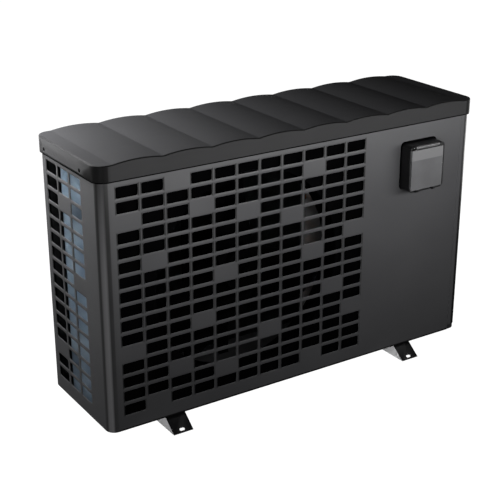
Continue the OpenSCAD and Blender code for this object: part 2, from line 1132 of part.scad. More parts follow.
module flow_paddle()
{
    unit() color([0.85, 0.85, 0.82])
        translate([flow_x, port_y, outlet_z])
            difference()
            {
                union()
                {
                    rod_y([0, -6.6, 14], 2.6, 13.2);
                    translate([-0.75, -6.6, -14])
                        cube([1.5, 13.2, 27]);
                }
                rod_y([0, -8, 14], 1.05, 16);
            }
}

// ---------- electrics ----------

module electrics_tray()
{
    w = 284;
    d = 254;
    unit() color([0.62, 0.63, 0.64])
        translate([part_x + 6, 24, tray_z])
        {
            difference()
            {
                cube([w, d, 26]);
                translate([sheet_t, sheet_t, sheet_t])
                    cube([w - 2 * sheet_t, d - 2 * sheet_t, 40]);
            }
            for (x = [30, 190], y = [70, 200])
                rod_z([x, y, 0.5], 4, 11.5);
        }
}

module control_board()
{
    unit() color([0.10, 0.32, 0.18])
        translate([part_x + 26, 84, tray_z + 12])
        {
            cube([180, 150, 1.6]);
            for (x = [24, 48, 72])
                rod_z([x, 118, 1], 9, 30);
            translate([100, 90, 1])
                cube([60, 44, 24]);
            translate([20, 30, 1])
                cube([26, 26, 14]);
            translate([110, 20, 1])
                cube([46, 16, 12]);
        }
}

module terminal_block()
{
    unit() color([0.75, 0.73, 0.66])
        translate([half_w - 32, 46, tray_z + sheet_t])
            difference()
            {
                cube([18, 90, 20]);
                for (i = [0 : 5])
                    rod_z([9, 11 + i * 13.6, 8], 3, 20);
            }
}

module wiring_cover()
{
    unit() color([0.15, 0.15, 0.155])
        translate([half_w, 34, gland_z + 37])
            difference()
            {
                cube([16, 88, 112]);
                translate([-1, 1.5, 1.5])
                    cube([15.5, 85, 109]);
            }
}

module cable_glands()
{
    unit() color([0.10, 0.10, 0.10])
        for (y = gland_y)
            translate([half_w, y, gland_z])
                difference()
                {
                    union()
                    {
                        rod_x([-10, 0, 0], gland_r, 14);
                        rod_x([0, 0, 0], 14, 6, $fn = 6);
                        rod_x([6, 0, 0], 11.5, 12);
                        rod_x([18, 0, 0], 9, 6);
                        rod_x([-10, 0, 0], 13.5, 6, $fn = 6);
                    }
                    rod_x([-12, 0, 0], 5.5, 60);
                }
}

// ---------- controller ----------

module ctrl_plate(w, top, bottom, r)
{
    translate([ctrl_x, 0])
        round_plate(w, ctrl_top - top - (ctrl_top - ctrl_h + bottom), r, ctrl_top - ctrl_h + bottom);
}

module controller_case()
{
    unit() color([0.07, 0.07, 0.075])
    {
        difference()
        {
            rotate([90, 0, 0])
                linear_extrude(ctrl_d)
                    ctrl_plate(ctrl_w, 0, 0, 10);
            translate([0, -2.5, 0])
                rotate([90, 0, 0])
                    linear_extrude(ctrl_d)
                        ctrl_plate(82, 14, 12, 3);
        }
        for (s = [-1, 1])
            difference()
            {
                translate([flap_x + s * 37 - 2.2, 0, 0])
                    union()
                    {
                        rod_x([0, hinge_y, hinge_z], ear_r, 4.4);
                        translate([0, hinge_y, hinge_z - ear_r])
                            cube([4.4, -ctrl_d - hinge_y + 1, 2 * ear_r]);
                    }
                rod_x([ctrl_x - 60, hinge_y, hinge_z], flap_pin_r, 120);
            }
    }
}

module controller_seal()
{
    unit() color([0.05, 0.05, 0.05])
        translate([-5, -ctrl_d, 0])
            rotate([90, 0, 0])
                linear_extrude(3.6)
                    difference()
                    {
                        ctrl_plate(88, seal_top, 9, 3);
                        ctrl_plate(84, seal_top + 2, 11, 2);
                    }
}

module controller_bezel()
{
    unit() color([0.12, 0.12, 0.125])
        difference()
        {
            translate([0, bezel_y, 0])
                rotate([90, 0, 0])
                    linear_extrude(2.4)
                        ctrl_plate(82, 14, 12, 3);
            translate([ctrl_x - 30, bezel_y - 6, ctrl_top - 60])
                cube([60, 12, 34]);
            for (x = button_x)
                rod_y([ctrl_x + x, bezel_y - 6, button_z], button_r + 0.3, 12);
        }
}

module display_window()
{
    unit() color([0.12, 0.16, 0.15])
        translate([ctrl_x - 30, bezel_y - 1.8, ctrl_top - 60])
            cube([60, 5.2, 34]);
}

module button(i)
{
    unit() color([0.45, 0.46, 0.47])
    {
        rod_y([ctrl_x + button_x[i], bezel_y - 4, button_z], button_r, 4.4);
        rod_y([ctrl_x + button_x[i], bezel_y + 0.3, button_z], button_r + 1.6, 0.8);
    }
}

module button_power() { button(0); }
module button_up() { button(1); }
module button_down() { button(2); }
module button_mode() { button(3); }

module controller_flap()
{
    top = hinge_z - flap_top_gap;
    x0 = flap_x - flap_w / 2;
    back = -ctrl_d - 0.4;
    skirt = 2;
    barrel = 69;
    unit() color([0.40, 0.41, 0.42, 0.8])
        difference()
        {
            union()
            {
                translate([x0, -flap_out, flap_bottom])
                    cube([flap_w, back + flap_out, top - flap_bottom]);
                rod_x([flap_x - barrel / 2, hinge_y, hinge_z], hinge_r, barrel);
                translate([flap_x - barrel / 2, hinge_y - hinge_r, top - 1])
                    cube([barrel, 2.6, hinge_z - top + 1]);
            }
            translate([x0 + skirt, -flap_out + flap_t, flap_bottom + skirt])
                cube([flap_w - 2 * skirt, 20, top - flap_bottom - 2 * skirt]);
            rod_x([ctrl_x - 60, hinge_y, hinge_z], flap_pin_r + 0.05, 120);
        }
}

module flap_pin()
{
    unit() color([0.68, 0.69, 0.70])
        rod_x([flap_x - 40, hinge_y, hinge_z], flap_pin_r, 80);
}

module flap_clips()
{
    unit() color([0.08, 0.08, 0.085])
        for (s = [-1, 1])
            translate([flap_x + s * 25 - 4, -flap_out + 1, flap_bottom - 5.4])
                difference()
                {
                    cube([8, flap_out - ctrl_d - 1, 5]);
                    translate([-1, 2, 2.4])
                        cube([10, 3.2, 4]);
                }
}

base_pan();
foot_left();
foot_right();
foot_bolts();
front_panel();
right_panel();
rear_panel();
rear_guard();
top_cover();
cover_screws();
panel_screws();
partition_plate();
drain_elbow();
fan_shroud();
fan_rotor();
fan_nut();
motor_shaft();
fan_motor();
motor_bracket();
fin_pack();
coil_end_plates();
return_bends();
compressor();
compressor_grommets();
compressor_bolts();
terminal_cap();
accumulator();
four_way_valve();
expansion_valve();
valve_coils();
discharge_pipe();
suction_pipe();
evaporator_pipe();
condenser_pipe();
liquid_pipe();
exchanger_vessel();
titanium_coil();
inlet_pipe();
outlet_pipe();
inlet_union_nut();
outlet_union_nut();
union_sockets();
flow_switch();
flow_paddle();
electrics_tray();
control_board();
terminal_block();
wiring_cover();
cable_glands();
controller_case();
controller_seal();
display_window();
controller_bezel();
button_power();
button_up();
button_down();
button_mode();
controller_flap();
flap_pin();
flap_clips();
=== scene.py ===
import json
import math

import bmesh
import bpy
from mathutils import Matrix, Vector


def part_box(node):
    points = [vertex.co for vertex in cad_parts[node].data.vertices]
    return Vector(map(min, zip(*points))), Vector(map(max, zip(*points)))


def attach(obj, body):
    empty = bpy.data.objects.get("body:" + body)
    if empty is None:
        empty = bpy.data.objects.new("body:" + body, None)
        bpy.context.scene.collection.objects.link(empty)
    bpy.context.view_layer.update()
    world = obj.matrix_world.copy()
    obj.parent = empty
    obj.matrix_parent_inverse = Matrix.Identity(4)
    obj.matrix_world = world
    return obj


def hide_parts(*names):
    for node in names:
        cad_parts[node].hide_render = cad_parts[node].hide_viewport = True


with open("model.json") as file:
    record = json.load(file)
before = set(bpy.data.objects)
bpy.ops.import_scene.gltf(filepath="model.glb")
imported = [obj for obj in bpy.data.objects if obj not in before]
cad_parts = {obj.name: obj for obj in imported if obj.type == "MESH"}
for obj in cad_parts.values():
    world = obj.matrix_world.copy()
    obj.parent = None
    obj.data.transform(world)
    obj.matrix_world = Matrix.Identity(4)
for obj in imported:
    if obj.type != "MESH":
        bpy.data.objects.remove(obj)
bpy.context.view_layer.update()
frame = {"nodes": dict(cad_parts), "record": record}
nodes = frame["nodes"]
slotOfNode = {part["node"]: part["material_slot"] for part in frame["record"]["subparts"]}
bodyOfNode = {name: body for body, names in frame["record"]["behaviour"]["bodies"].items() for name in names}
print("frame loaded:", len(nodes), "nodes")

mm = 0.001
casingLow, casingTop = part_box("front_panel")
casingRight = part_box("right_panel")[1].x
middleX = (casingLow.x + casingRight) / 2
frontY = casingLow.y
backY = casingTop.y
halfWidth = (casingRight - casingLow.x) / 2
coverLow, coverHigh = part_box("top_cover")


def at(x, y, z):  # millimetres: x from the casing's middle, y back from its front face, z up
    return Vector((middleX + x * mm, frontY + y * mm, z * mm))


# camera, floor and light

view = {
    "spot": (-1.4652, -2.1291, 1.3397),
    "look": (0.50672, 0.77826, -0.37087),
    "lens": 83.82,
    "sensor": 36,
    "farthest": 60,
}


def added(name, data):
    made = bpy.data.objects.new(name, data)
    bpy.context.scene.collection.objects.link(made)
    return made


def stood(name, data, spot, look):  # a camera or lamp at a spot, looking in a direction
    made = added(name, data)
    made.location = spot
    made.rotation_euler = Vector(look).to_track_quat("-Z", "Y").to_euler()
    return made


camera = stood("camera", bpy.data.cameras.new("camera"), view["spot"], view["look"])
camera.data.lens = view["lens"]
camera.data.sensor_width = view["sensor"]
camera.data.clip_end = view["farthest"]
bpy.context.scene.camera = camera
bpy.context.scene.view_settings.view_transform = "Standard"


def node(tree, kind, inputs=None, **settings):
    made = tree.nodes.new(kind)
    for key, value in settings.items():
        setattr(made, key, value)
    for key, value in (inputs or {}).items():
        feed(tree, made.inputs[key], value)
    return made


def result(tree, kind, inputs=None, **settings):
    return node(tree, kind, inputs, **settings).outputs[0]


def feed(tree, socket, value):
    if isinstance(value, bpy.types.NodeSocket):
        tree.links.new(value, socket)
    elif socket.type == "RGBA" and len(value) == 3:
        socket.default_value = (*value, 1.0)
    else:
        socket.default_value = value


studio = {
    "floorSize": 40.0,
    "floor": (0.06, 0.06, 0.06),
    "white": (1, 1, 1),
    "glow": 1.05,  # how bright the floor and the air beyond it look
    "skyLight": 0.022,  # how much light the air gives
    "footBeam": 60.0,
    "lights": {
        # name: spot, aim, width, height, power
        "frontStrip": ((-0.03, -0.535, 0.60), (-0.03, -0.135, 0.60), 1.5, 0.1, 5.7),
        "frontCard": ((0.25, -0.85, 0.62), (0.12, -0.135, 0.55), 1.6, 0.2, 4.3),
        "leftTopCard": ((-0.75, 0.35, 0.95), (-0.4, 0.1, 0.64), 0.4, 0.4, 14.2),
        "leftBackCard": ((-1.6, 0.9, 1.1), (-0.5, 0.0, 0.4), 1.0, 0.8, 6.8),
        "leftLowCard": ((-1.3, 0.7, 0.4), (-0.5, 0.05, 0.3), 0.6, 0.5, 1.0),
        "leftStrip": ((-0.95, 0.55, 0.60), (-0.526, 0.14, 0.56), 0.4, 0.1, 1.6),
        "leftFootStrip": ((-0.55, -0.15, 0.016), (-0.38, -0.10, 0.012), 0.12, 0.012, 0.014),
        "rightFootStrip": ((0.11, -0.15, 0.016), (0.28, -0.10, 0.012), 0.12, 0.012, 0.014),
        "rightCard": ((1.35, 0.16, 0.40), (0.47, 0.03, 0.34), 1.0, 0.5, 7.0),
        "backCard": ((0.1, 1.35, 0.40), (0.0, 0.15, 0.34), 1.5, 0.5, 9.0),
    },
}


def buildStudio():
    mesh = bpy.data.meshes.new("floor")
    half = studio["floorSize"] / 2
    corners = [(-half, -half, 0), (half, -half, 0), (half, half, 0), (-half, half, 0)]
    mesh.from_pydata(corners, [], [(0, 1, 2, 3)])
    floor = added("floor", mesh)
    material = bpy.data.materials.new("paleFloor")
    material.use_nodes = True
    tree = material.node_tree
    tree.nodes.clear()
    matt = result(tree, "ShaderNodeBsdfDiffuse", {"Color": studio["floor"]})
    glow = result(tree, "ShaderNodeEmission", {"Color": studio["white"], "Strength": studio["glow"]})
    both = result(tree, "ShaderNodeAddShader", {0: matt, 1: glow})
    seen = node(tree, "ShaderNodeLightPath").outputs["Is Camera Ray"]
    mix = result(tree, "ShaderNodeMixShader", {0: seen, 1: matt, 2: both})
    clear = result(tree, "ShaderNodeBsdfTransparent")
    below = node(tree, "ShaderNodeNewGeometry").outputs["Backfacing"]
    oneSided = result(tree, "ShaderNodeMixShader", {0: below, 1: mix, 2: clear})
    node(tree, "ShaderNodeOutputMaterial", {"Surface": oneSided})
    mesh.materials.append(material)
    world = bpy.data.worlds.new("studio")
    world.use_nodes = True
    sky = world.node_tree
    eye = node(sky, "ShaderNodeLightPath").outputs["Is Camera Ray"]
    levels = {"Value": eye, "To Min": studio["skyLight"], "To Max": studio["glow"]}
    backdrop = sky.nodes["Background"]
    feed(sky, backdrop.inputs["Color"], studio["white"])
    feed(sky, backdrop.inputs["Strength"], result(sky, "ShaderNodeMapRange", levels))
    bpy.context.scene.world = world
    for name, (spot, aim, width, height, power) in studio["lights"].items():
        lamp = bpy.data.lights.new(name, "AREA")
        lamp.shape = "RECTANGLE"
        lamp.size, lamp.size_y = width, height
        lamp.energy = power
        if name.endswith("FootStrip"):  # a flat beam under the casing
            lamp.spread = math.radians(studio["footBeam"])
        stood(name, lamp, spot, Vector(aim) - Vector(spot)).visible_camera = False


buildStudio()
print("camera, floor and lights set")


# finishes

usualLook = {"specular": 0.5, "metallic": 0.0, "alpha": 1.0}
finishes = {
    # colour and second are mixed in clouds; rough is its range; bumps are (scale, strength, distance);
    # edge is (radius, worn colour, amount, worn roughness); each painted shade or painted light colours the
    # faces that look one way
    "casingPaint": {
        "colour": (0.040, 0.040, 0.042), "second": (0.047, 0.047, 0.049), "cloud": 3.0,
        "rough": (0.40, 0.50), "roughScale": 9.0, "specular": 0.28,
        "bumps": [(420, 0.10, 0.0004), (1900, 0.06, 0.0002)], "edge": (0.0012, (0.10, 0.10, 0.105), 0.4, 0.35),
        # painted light and shade on the bends, grey high up and low down: beside the left bend (painted shade),
        # on its crest (a painted highlight strip, brightest low down), and on the right bend (painted shade)
        "bendShade": ((0.0015, 0.036), (0.029, 0.24), (0.0006, 0.0006)),
        "hem": ((0.002, 0.002, 0.002), 0.0036),  # colour and height of a painted shadow line along the lower edge of the front faces
    },
    "coverPaint": {
        "colour": (0.040, 0.040, 0.042), "second": (0.047, 0.047, 0.049), "cloud": 2.5,
        # painted shade: a darker front skirt, a dark line along the top front edge, a darker left skirt and
        # left top edge, and dark bends
        "frontShade": (0.0205, 0.0205, 0.021), "frontBrow": (0.003, 0.003, 0.003),
        "leftShade": (0.033, 0.033, 0.034), "leftBrow": (0.013, 0.013, 0.0135),
        "bendShade": ((0.0015, 0.0015), (0.007, 0.007), (0.002, 0.002)),
        "rough": (0.56, 0.66), "roughScale": 8.0, "specular": 0.07,
        "bumps": [(420, 0.10, 0.0004), (1900, 0.06, 0.0002)], "edge": (0.0020, (0.05, 0.05, 0.053), 0.25, 0.36),
    },
    "blackSteel": {
        "colour": (0.016, 0.016, 0.017), "second": (0.024, 0.024, 0.025), "cloud": 7.0,
        "rough": (0.42, 0.58), "roughScale": 14.0, "specular": 0.3,
        "bumps": [(500, 0.12, 0.0004)], "edge": (0.0010, (0.09, 0.09, 0.095), 0.6, 0.4),
    },
    "footSteel": {
        "colour": (0.0035, 0.0035, 0.0038), "second": (0.006, 0.006, 0.0065), "cloud": 7.0,
        # the side webs of the feet are painted pale grey as painted light
        "rough": (0.42, 0.58), "roughScale": 14.0, "specular": 0.12, "webShade": (0.72, 0.72, 0.73),
        "bumps": [(500, 0.12, 0.0004)], "edge": (0.0010, (0.09, 0.09, 0.095), 0.6, 0.4),
    },
    # near-black that stands in for the shade inside the fan bay and for the painted shadow lines under the
    # cover and round the controller box; also the black of the cover screws and the controller seal
    "bayBlack": {
        "colour": (0.0006, 0.0006, 0.0007), "second": (0.0011, 0.0011, 0.0012), "cloud": 14.0,
        "rough": (0.7, 0.85), "roughScale": 40.0, "specular": 0.0,
        "bumps": [(800, 0.2, 0.0003)], "edge": (0.0008, (0.003, 0.003, 0.003), 0.5, 0.6),
    },
    # the controller case's black plastic, made darker than blackPlastic as painted shade; the flap catches
    # share it
    "caseBlack": {
        "colour": (0.0035, 0.0035, 0.0038), "second": (0.0055, 0.0055, 0.006), "cloud": 20.0,
        "rough": (0.36, 0.48), "roughScale": 60.0, "specular": 0.25,
        "bumps": [(1500, 0.22, 0.0003)], "edge": (0.0010, (0.022, 0.022, 0.022), 0.6, 0.34),
    },
    "zincPlate": {
        "colour": (0.36, 0.37, 0.38), "second": (0.52, 0.53, 0.54), "cloud": 26.0,
        "rough": (0.32, 0.5), "roughScale": 60.0, "metallic": 0.85,
        "bumps": [(900, 0.12, 0.0002)], "edge": (0.0008, (0.66, 0.67, 0.68), 0.7, 0.25),
    },
    "galvanised": {
        "colour": (0.34, 0.35, 0.36), "second": (0.50, 0.51, 0.52), "cloud": 12.0,
        "spangle": 90.0, "spangleMix": (0.1, 0.75),
        "rough": (0.30, 0.48), "roughScale": 40.0, "metallic": 0.9,
        "bumps": [(700, 0.06, 0.0002)], "edge": (0.0010, (0.62, 0.63, 0.64), 0.6, 0.28),
    },
    "blackPlastic": {
        "colour": (0.012, 0.012, 0.013), "second": (0.018, 0.018, 0.019), "cloud": 20.0,
        "rough": (0.38, 0.5), "roughScale": 60.0, "specular": 0.4,
        "bumps": [(1500, 0.22, 0.0003)], "edge": (0.0010, (0.05, 0.05, 0.052), 0.6, 0.34),
    },
    "finAluminium": {
        "colour": (0.44, 0.53, 0.62), "second": (0.58, 0.66, 0.72), "cloud": 14.0,
        "rough": (0.30, 0.46), "roughScale": 50.0, "metallic": 0.35,
        "innerShade": (0.002, 0.002, 0.002),  # painted shade on the fins' inner edges, deep between the fins
        "bumps": [(650, 0.2, 0.0004)], "edge": (0.0004, (0.6, 0.64, 0.68), 0.4, 0.3),
    },
    "copperTube": {
        "colour": (0.55, 0.25, 0.14), "second": (0.72, 0.38, 0.24), "cloud": 30.0,
        "rough": (0.24, 0.44), "roughScale": 70.0, "metallic": 1.0,
        "bumps": [(900, 0.10, 0.0002)], "edge": (0.0008, (0.86, 0.52, 0.36), 0.4, 0.2),
    },
    "turnedBrass": {
        "colour": (0.60, 0.44, 0.20), "second": (0.75, 0.58, 0.30), "cloud": 40.0,
        "rough": (0.22, 0.4), "roughScale": 90.0, "metallic": 1.0,
        "bumps": [(1200, 0.10, 0.0002)], "edge": (0.0006, (0.86, 0.72, 0.44), 0.5, 0.2),
    },
    "motorPaint": {
        "colour": (0.15, 0.16, 0.17), "second": (0.20, 0.21, 0.22), "cloud": 12.0,
        "rough": (0.34, 0.5), "roughScale": 40.0, "specular": 0.4,
        "bumps": [(520, 0.12, 0.0004)], "edge": (0.0012, (0.36, 0.37, 0.38), 0.5, 0.36),
    },
    "groundSteel": {
        "colour": (0.50, 0.51, 0.52), "second": (0.62, 0.63, 0.64), "cloud": 40.0, "stretch": (1, 0.06, 1),
        "rough": (0.2, 0.36), "roughScale": 300.0, "metallic": 1.0,
        "bumps": [(1500, 0.08, 0.0001)], "edge": (0.0006, (0.8, 0.8, 0.8), 0.4, 0.18),
    },
    "titaniumTube": {
        "colour": (0.33, 0.32, 0.31), "second": (0.44, 0.42, 0.40), "cloud": 30.0,
        "rough": (0.3, 0.46), "roughScale": 80.0, "metallic": 1.0,
        "bumps": [(900, 0.08, 0.0002)], "edge": (0.0006, (0.6, 0.58, 0.56), 0.4, 0.26),
    },
    "softRubber": {
        "colour": (0.010, 0.010, 0.010), "second": (0.018, 0.018, 0.018), "cloud": 30.0,
        "rough": (0.68, 0.85), "roughScale": 80.0, "specular": 0.3,
        "bumps": [(1300, 0.3, 0.0004)], "edge": (0.0008, (0.04, 0.04, 0.04), 0.5, 0.7),
    },
    "solderMask": {
        "colour": (0.010, 0.075, 0.035), "second": (0.016, 0.12, 0.055), "cloud": 60.0,
        "tracks": 260.0, "trackColour": (0.05, 0.2, 0.08), "trackEdge": (0.1, 0.16), "trackAmount": 0.5,
        "rough": (0.22, 0.34), "roughScale": 90.0,
        "bumps": [(500, 0.12, 0.0002)], "edge": (0.0005, (0.35, 0.33, 0.2), 0.5, 0.5),
    },
    "terminalPlastic": {
        "colour": (0.50, 0.48, 0.41), "second": (0.60, 0.58, 0.50), "cloud": 30.0,
        "rough": (0.4, 0.55), "roughScale": 60.0, "specular": 0.4,
        "bumps": [(1400, 0.2, 0.0003)], "edge": (0.0008, (0.72, 0.70, 0.62), 0.5, 0.4),
    },
    "paddlePlastic": {
        "colour": (0.62, 0.62, 0.59), "second": (0.72, 0.72, 0.69), "cloud": 30.0,
        "rough": (0.36, 0.5), "roughScale": 60.0, "specular": 0.4,
        "bumps": [(1300, 0.16, 0.0003)], "edge": (0.0006, (0.8, 0.8, 0.78), 0.4, 0.3),
    },
    "displayGlass": {
        "colour": (0.020, 0.032, 0.028), "second": (0.030, 0.044, 0.038), "cloud": 40.0,
        "rough": (0.06, 0.12), "roughScale": 50.0,
        "bumps": [(60, 0.02, 0.0002)], "edge": (0.0006, (0.10, 0.12, 0.11), 0.5, 0.2),
    },
    "keyPlastic": {
        "colour": (0.10, 0.10, 0.105), "second": (0.14, 0.14, 0.145), "cloud": 60.0,
        "rough": (0.42, 0.55), "roughScale": 90.0, "specular": 0.4,
        "bumps": [(1800, 0.2, 0.0002)], "edge": (0.0006, (0.26, 0.26, 0.265), 0.5, 0.4),
    },
    "smokedPlastic": {
        "colour": (0.070, 0.070, 0.072), "second": (0.082, 0.082, 0.085), "cloud": 18.0,
        "rough": (0.10, 0.18), "roughScale": 30.0, "alpha": 0.94,
        "bumps": [(90, 0.03, 0.0003)], "edge": (0.0010, (0.24, 0.24, 0.245), 0.7, 0.14),
        "bands": [  # colour, from and to which height: a painted reflection across the upper flap, a painted shadow gap above it, hinge bar
            ((0.115, 0.115, 0.117), 0.5305, 0.5552), ((0.002, 0.002, 0.002), 0.5552, 0.5578),
            ((0.060, 0.060, 0.061), 0.5578, 0.5700),
        ],
    },
}

finishOfSlot = {
    "casing_paint": "casingPaint", "black_steel": "blackSteel", "foot_steel": "footSteel", "zinc": "zincPlate",
    "galvanised": "galvanised", "black_plastic": "blackPlastic", "fin_aluminium": "finAluminium",
    "copper": "copperTube", "brass": "turnedBrass", "motor_paint": "motorPaint", "shaft_steel": "groundSteel",
    "titanium": "titaniumTube", "rubber": "softRubber", "board": "solderMask",
    "terminal_plastic": "terminalPlastic", "paddle_plastic": "paddlePlastic", "display_glass": "displayGlass",
    "key_plastic": "keyPlastic", "smoked_plastic": "smokedPlastic",
}


def noise(tree, place, scale, detail=4.0):
    return result(tree, "ShaderNodeTexNoise", {"Vector": place, "Scale": scale, "Detail": detail})


def spread(tree, value, low, high, toLow=0.0, toHigh=1.0):
    inputs = {"Value": value, "From Min": low, "From Max": high, "To Min": toLow, "To Max": toHigh}
    return result(tree, "ShaderNodeMapRange", inputs)


def blended(tree, factor, first, second):
    return node(tree, "ShaderNodeMix", {0: factor, 6: first, 7: second}, data_type="RGBA").outputs[2]


def times(tree, first, second):
    return result(tree, "ShaderNodeMath", {0: first, 1: second}, operation="MULTIPLY")


def alike(tree, first, second):  # 1 where two directions agree
    return node(tree, "ShaderNodeVectorMath", {0: first, 1: second}, operation="DOT_PRODUCT").outputs["Value"]


paintedShadeFacings = {
    # painted shade and painted light: the way its faces look, where it starts and where it is full; the same
    # for the three bends
    "frontShade": ((0, -1, 0), 0.75, 0.95),
    "frontBrow": ((0, -1, 0.8), 0.86, 0.95),
    "leftShade": ((-1, 0, 0), 0.9, 0.98),
    "leftBrow": ((-1, 0, 0.9), 0.84, 0.94),
    "hem": ((0, -1, 0), 0.45, 0.6),
    "webShade": ((1, 0, 0), 0.7, 0.9),
    "bendShade": [((-1, -1, 0), 0.712, 0.765), ((-1, -1, 0), 0.925, 0.99), ((1, -1, 0), 0.73, 0.80)],
}
innerFins = (0.75, 0.35)  # how far out a fin's painted inner shade starts and is full
fuzz = 0.0004  # half the width of a band's soft edge, in metres
blueShift = 1.03


def paintLightAndShadeByFacing(tree, colour, height, look):  # painted light and shade on faces that look one way
    worldNormal = node(tree, "ShaderNodeNewGeometry").outputs["Normal"]
    normal = result(tree, "ShaderNodeVectorTransform", {0: worldNormal}, vector_type="NORMAL",
                    convert_from="WORLD", convert_to="OBJECT")

    def facing(direction, start, full, bothWays=False):
        share = alike(tree, normal, Vector(direction).normalized())
        if bothWays:
            share = result(tree, "ShaderNodeMath", {0: share}, operation="ABSOLUTE")
        return spread(tree, share, start, full)

    for shade in ("frontShade", "frontBrow", "leftShade", "leftBrow"):
        if shade in look:
            colour = blended(tree, facing(*paintedShadeFacings[shade]), colour, look[shade])
    if "innerShade" in look:
        outer = node(tree, "ShaderNodeAttribute", attribute_name="outer").outputs["Fac"]
        colour = blended(tree, spread(tree, outer, *innerFins), colour, look["innerShade"])
    if "webShade" in look:
        colour = blended(tree, facing(*paintedShadeFacings["webShade"], True), colour, look["webShade"])
    if "hem" in look:
        bottomShadowColour, bottomShadowHeight = look["hem"]
        low = spread(tree, height, casingLow.z + bottomShadowHeight + 2 * fuzz, casingLow.z + bottomShadowHeight)
        colour = blended(tree, times(tree, low, facing(*paintedShadeFacings["hem"])), colour, bottomShadowColour)
    # painted light and shade across the corner bends, changing with height
    if "bendShade" in look:
        drop = spread(tree, height, casingTop.z, casingLow.z)
        for faces, (high, low) in zip(paintedShadeFacings["bendShade"], look["bendShade"]):
            shade = blended(tree, drop, (high, high, high * blueShift), (low, low, low * blueShift))
            colour = blended(tree, facing(*faces), colour, shade)
    return colour


surface = {  # shared by all finishes
    "clouds": (0.35, 0.65), "roughSpots": (0.3, 0.7), "roughDetail": 3.0, "bumpDetail": 2.0,
    "bevelSamples": 4, "bend": (0.985, 0.80), "patchScale": 55.0, "patches": (0.36, 0.6), "leastPatch": 0.25,
}


def makeFinish(name, look):
    material = bpy.data.materials.new(name)
    material.use_nodes = True
    tree = material.node_tree
    tree.nodes.clear()
    spot = node(tree, "ShaderNodeTexCoord").outputs["Object"]
    height = node(tree, "ShaderNodeSeparateXYZ", {0: spot}).outputs[2]
    if "stretch" in look:
        spot = result(tree, "ShaderNodeMapping", {"Vector": spot, "Scale": look["stretch"]})
    clouds = spread(tree, noise(tree, spot, look["cloud"]), *surface["clouds"])
    colour = blended(tree, clouds, look["colour"], look["second"])
    if "spangle" in look:  # the crystal flakes of a hot dipped sheet
        flakes = node(tree, "ShaderNodeTexVoronoi", {"Vector": spot, "Scale": look["spangle"]})
        shade = result(tree, "ShaderNodeSeparateColor", {0: flakes.outputs["Color"]})
        shade = spread(tree, shade, 0, 1, *look["spangleMix"])
        colour = blended(tree, shade, colour, look["second"])
    if "tracks" in look:  # copper tracks under the mask
        lines = node(tree, "ShaderNodeTexVoronoi", {"Vector": spot, "Scale": look["tracks"]},
                     distance="MANHATTAN")
        track = spread(tree, lines.outputs["Distance"], *look["trackEdge"], 0.0, look["trackAmount"])
        colour = blended(tree, track, colour, look["trackColour"])
    for bandColour, low, high in look.get("bands", []):
        inside = times(tree, spread(tree, height, low - fuzz, low + fuzz),
                       spread(tree, height, high + fuzz, high - fuzz))
        colour = blended(tree, inside, colour, bandColour)
    colour = paintLightAndShadeByFacing(tree, colour, height, look)
    radius, wornColour, wornAmount, wornRough = look["edge"]
    softNormal = result(tree, "ShaderNodeBevel", {"Radius": radius}, samples=surface["bevelSamples"])
    bend = alike(tree, softNormal, node(tree, "ShaderNodeNewGeometry").outputs["Normal"])
    patches = noise(tree, spot, surface["patchScale"])
    patches = spread(tree, patches, *surface["patches"], surface["leastPatch"])
    worn = times(tree, times(tree, spread(tree, bend, *surface["bend"]), patches), wornAmount)
    colour = blended(tree, worn, colour, wornColour)
    roughness = spread(tree, noise(tree, spot, look["roughScale"], surface["roughDetail"]),
                       *surface["roughSpots"], *look["rough"])
    roughness = result(tree, "ShaderNodeMix", {0: worn, 2: roughness, 3: wornRough})
    normal = softNormal
    for scale, strength, distance in look["bumps"]:
        grain = noise(tree, spot, scale, surface["bumpDetail"])
        normal = result(tree, "ShaderNodeBump", {
            "Height": grain, "Strength": strength, "Distance": distance, "Normal": normal,
        })
    shader = node(tree, "ShaderNodeBsdfPrincipled", {
        "Base Color": colour, "Roughness": roughness, "Normal": normal,
        "Metallic": look["metallic"], "Specular IOR Level": look["specular"], "Alpha": look["alpha"],
    })
    node(tree, "ShaderNodeOutputMaterial", {"Surface": shader.outputs[0]})
    return material


finish = {name: makeFinish(name, {**usualLook, **look}) for name, look in finishes.items()}
print("finishes made:", len(finish))


# shared shapes

def meshOf(name, shape):
    mesh = bpy.data.meshes.new(name)
    shape.to_mesh(mesh)
    shape.free()
    return mesh


def newObject(name, shape, finishName):
    made = added(name, meshOf(name, shape))
    made.data.materials.append(finish[finishName])
    return made


rounding = {"steps": 2, "angle": 32, "smooth": 30, "smoothSolid": 38, "smoothSheet": 40}


def bevelled(piece, width, angle=rounding["angle"]):
    bevel = piece.modifiers.new("bevel", "BEVEL")
    bevel.width = width * mm
    bevel.segments = rounding["steps"]
    bevel.limit_method = "ANGLE"
    bevel.angle_limit = math.radians(angle)
    bevel.use_clamp_overlap = True
    return piece


def walled(piece, thickness):
    wall = piece.modifiers.new("wall", "SOLIDIFY")
    wall.thickness = thickness * mm
    wall.offset = -1
    wall.use_even_offset = True
    return piece


def baked(piece, smoothAngle=rounding["smooth"]):  # modifiers into a plain mesh, evenly shaded
    for polygon in piece.data.polygons:
        polygon.use_smooth = True
    even = piece.modifiers.new("even", "WEIGHTED_NORMAL")
    even.keep_sharp = True
    bpy.context.view_layer.update()
    graph = bpy.context.evaluated_depsgraph_get()
    done = piece.evaluated_get(graph)
    mesh = bpy.data.meshes.new_from_object(done, preserve_all_data_layers=True, depsgraph=graph)
    piece.modifiers.clear()
    old = piece.data
    piece.data = mesh
    bpy.data.meshes.remove(old)
    for polygon in mesh.polygons:
        polygon.use_smooth = True
    mesh.set_sharp_from_angle(angle=math.radians(smoothAngle))
    return piece


def place(piece, body, slot, *stoodFor):
    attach(piece, body)
    if stoodFor:
        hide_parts(*stoodFor)


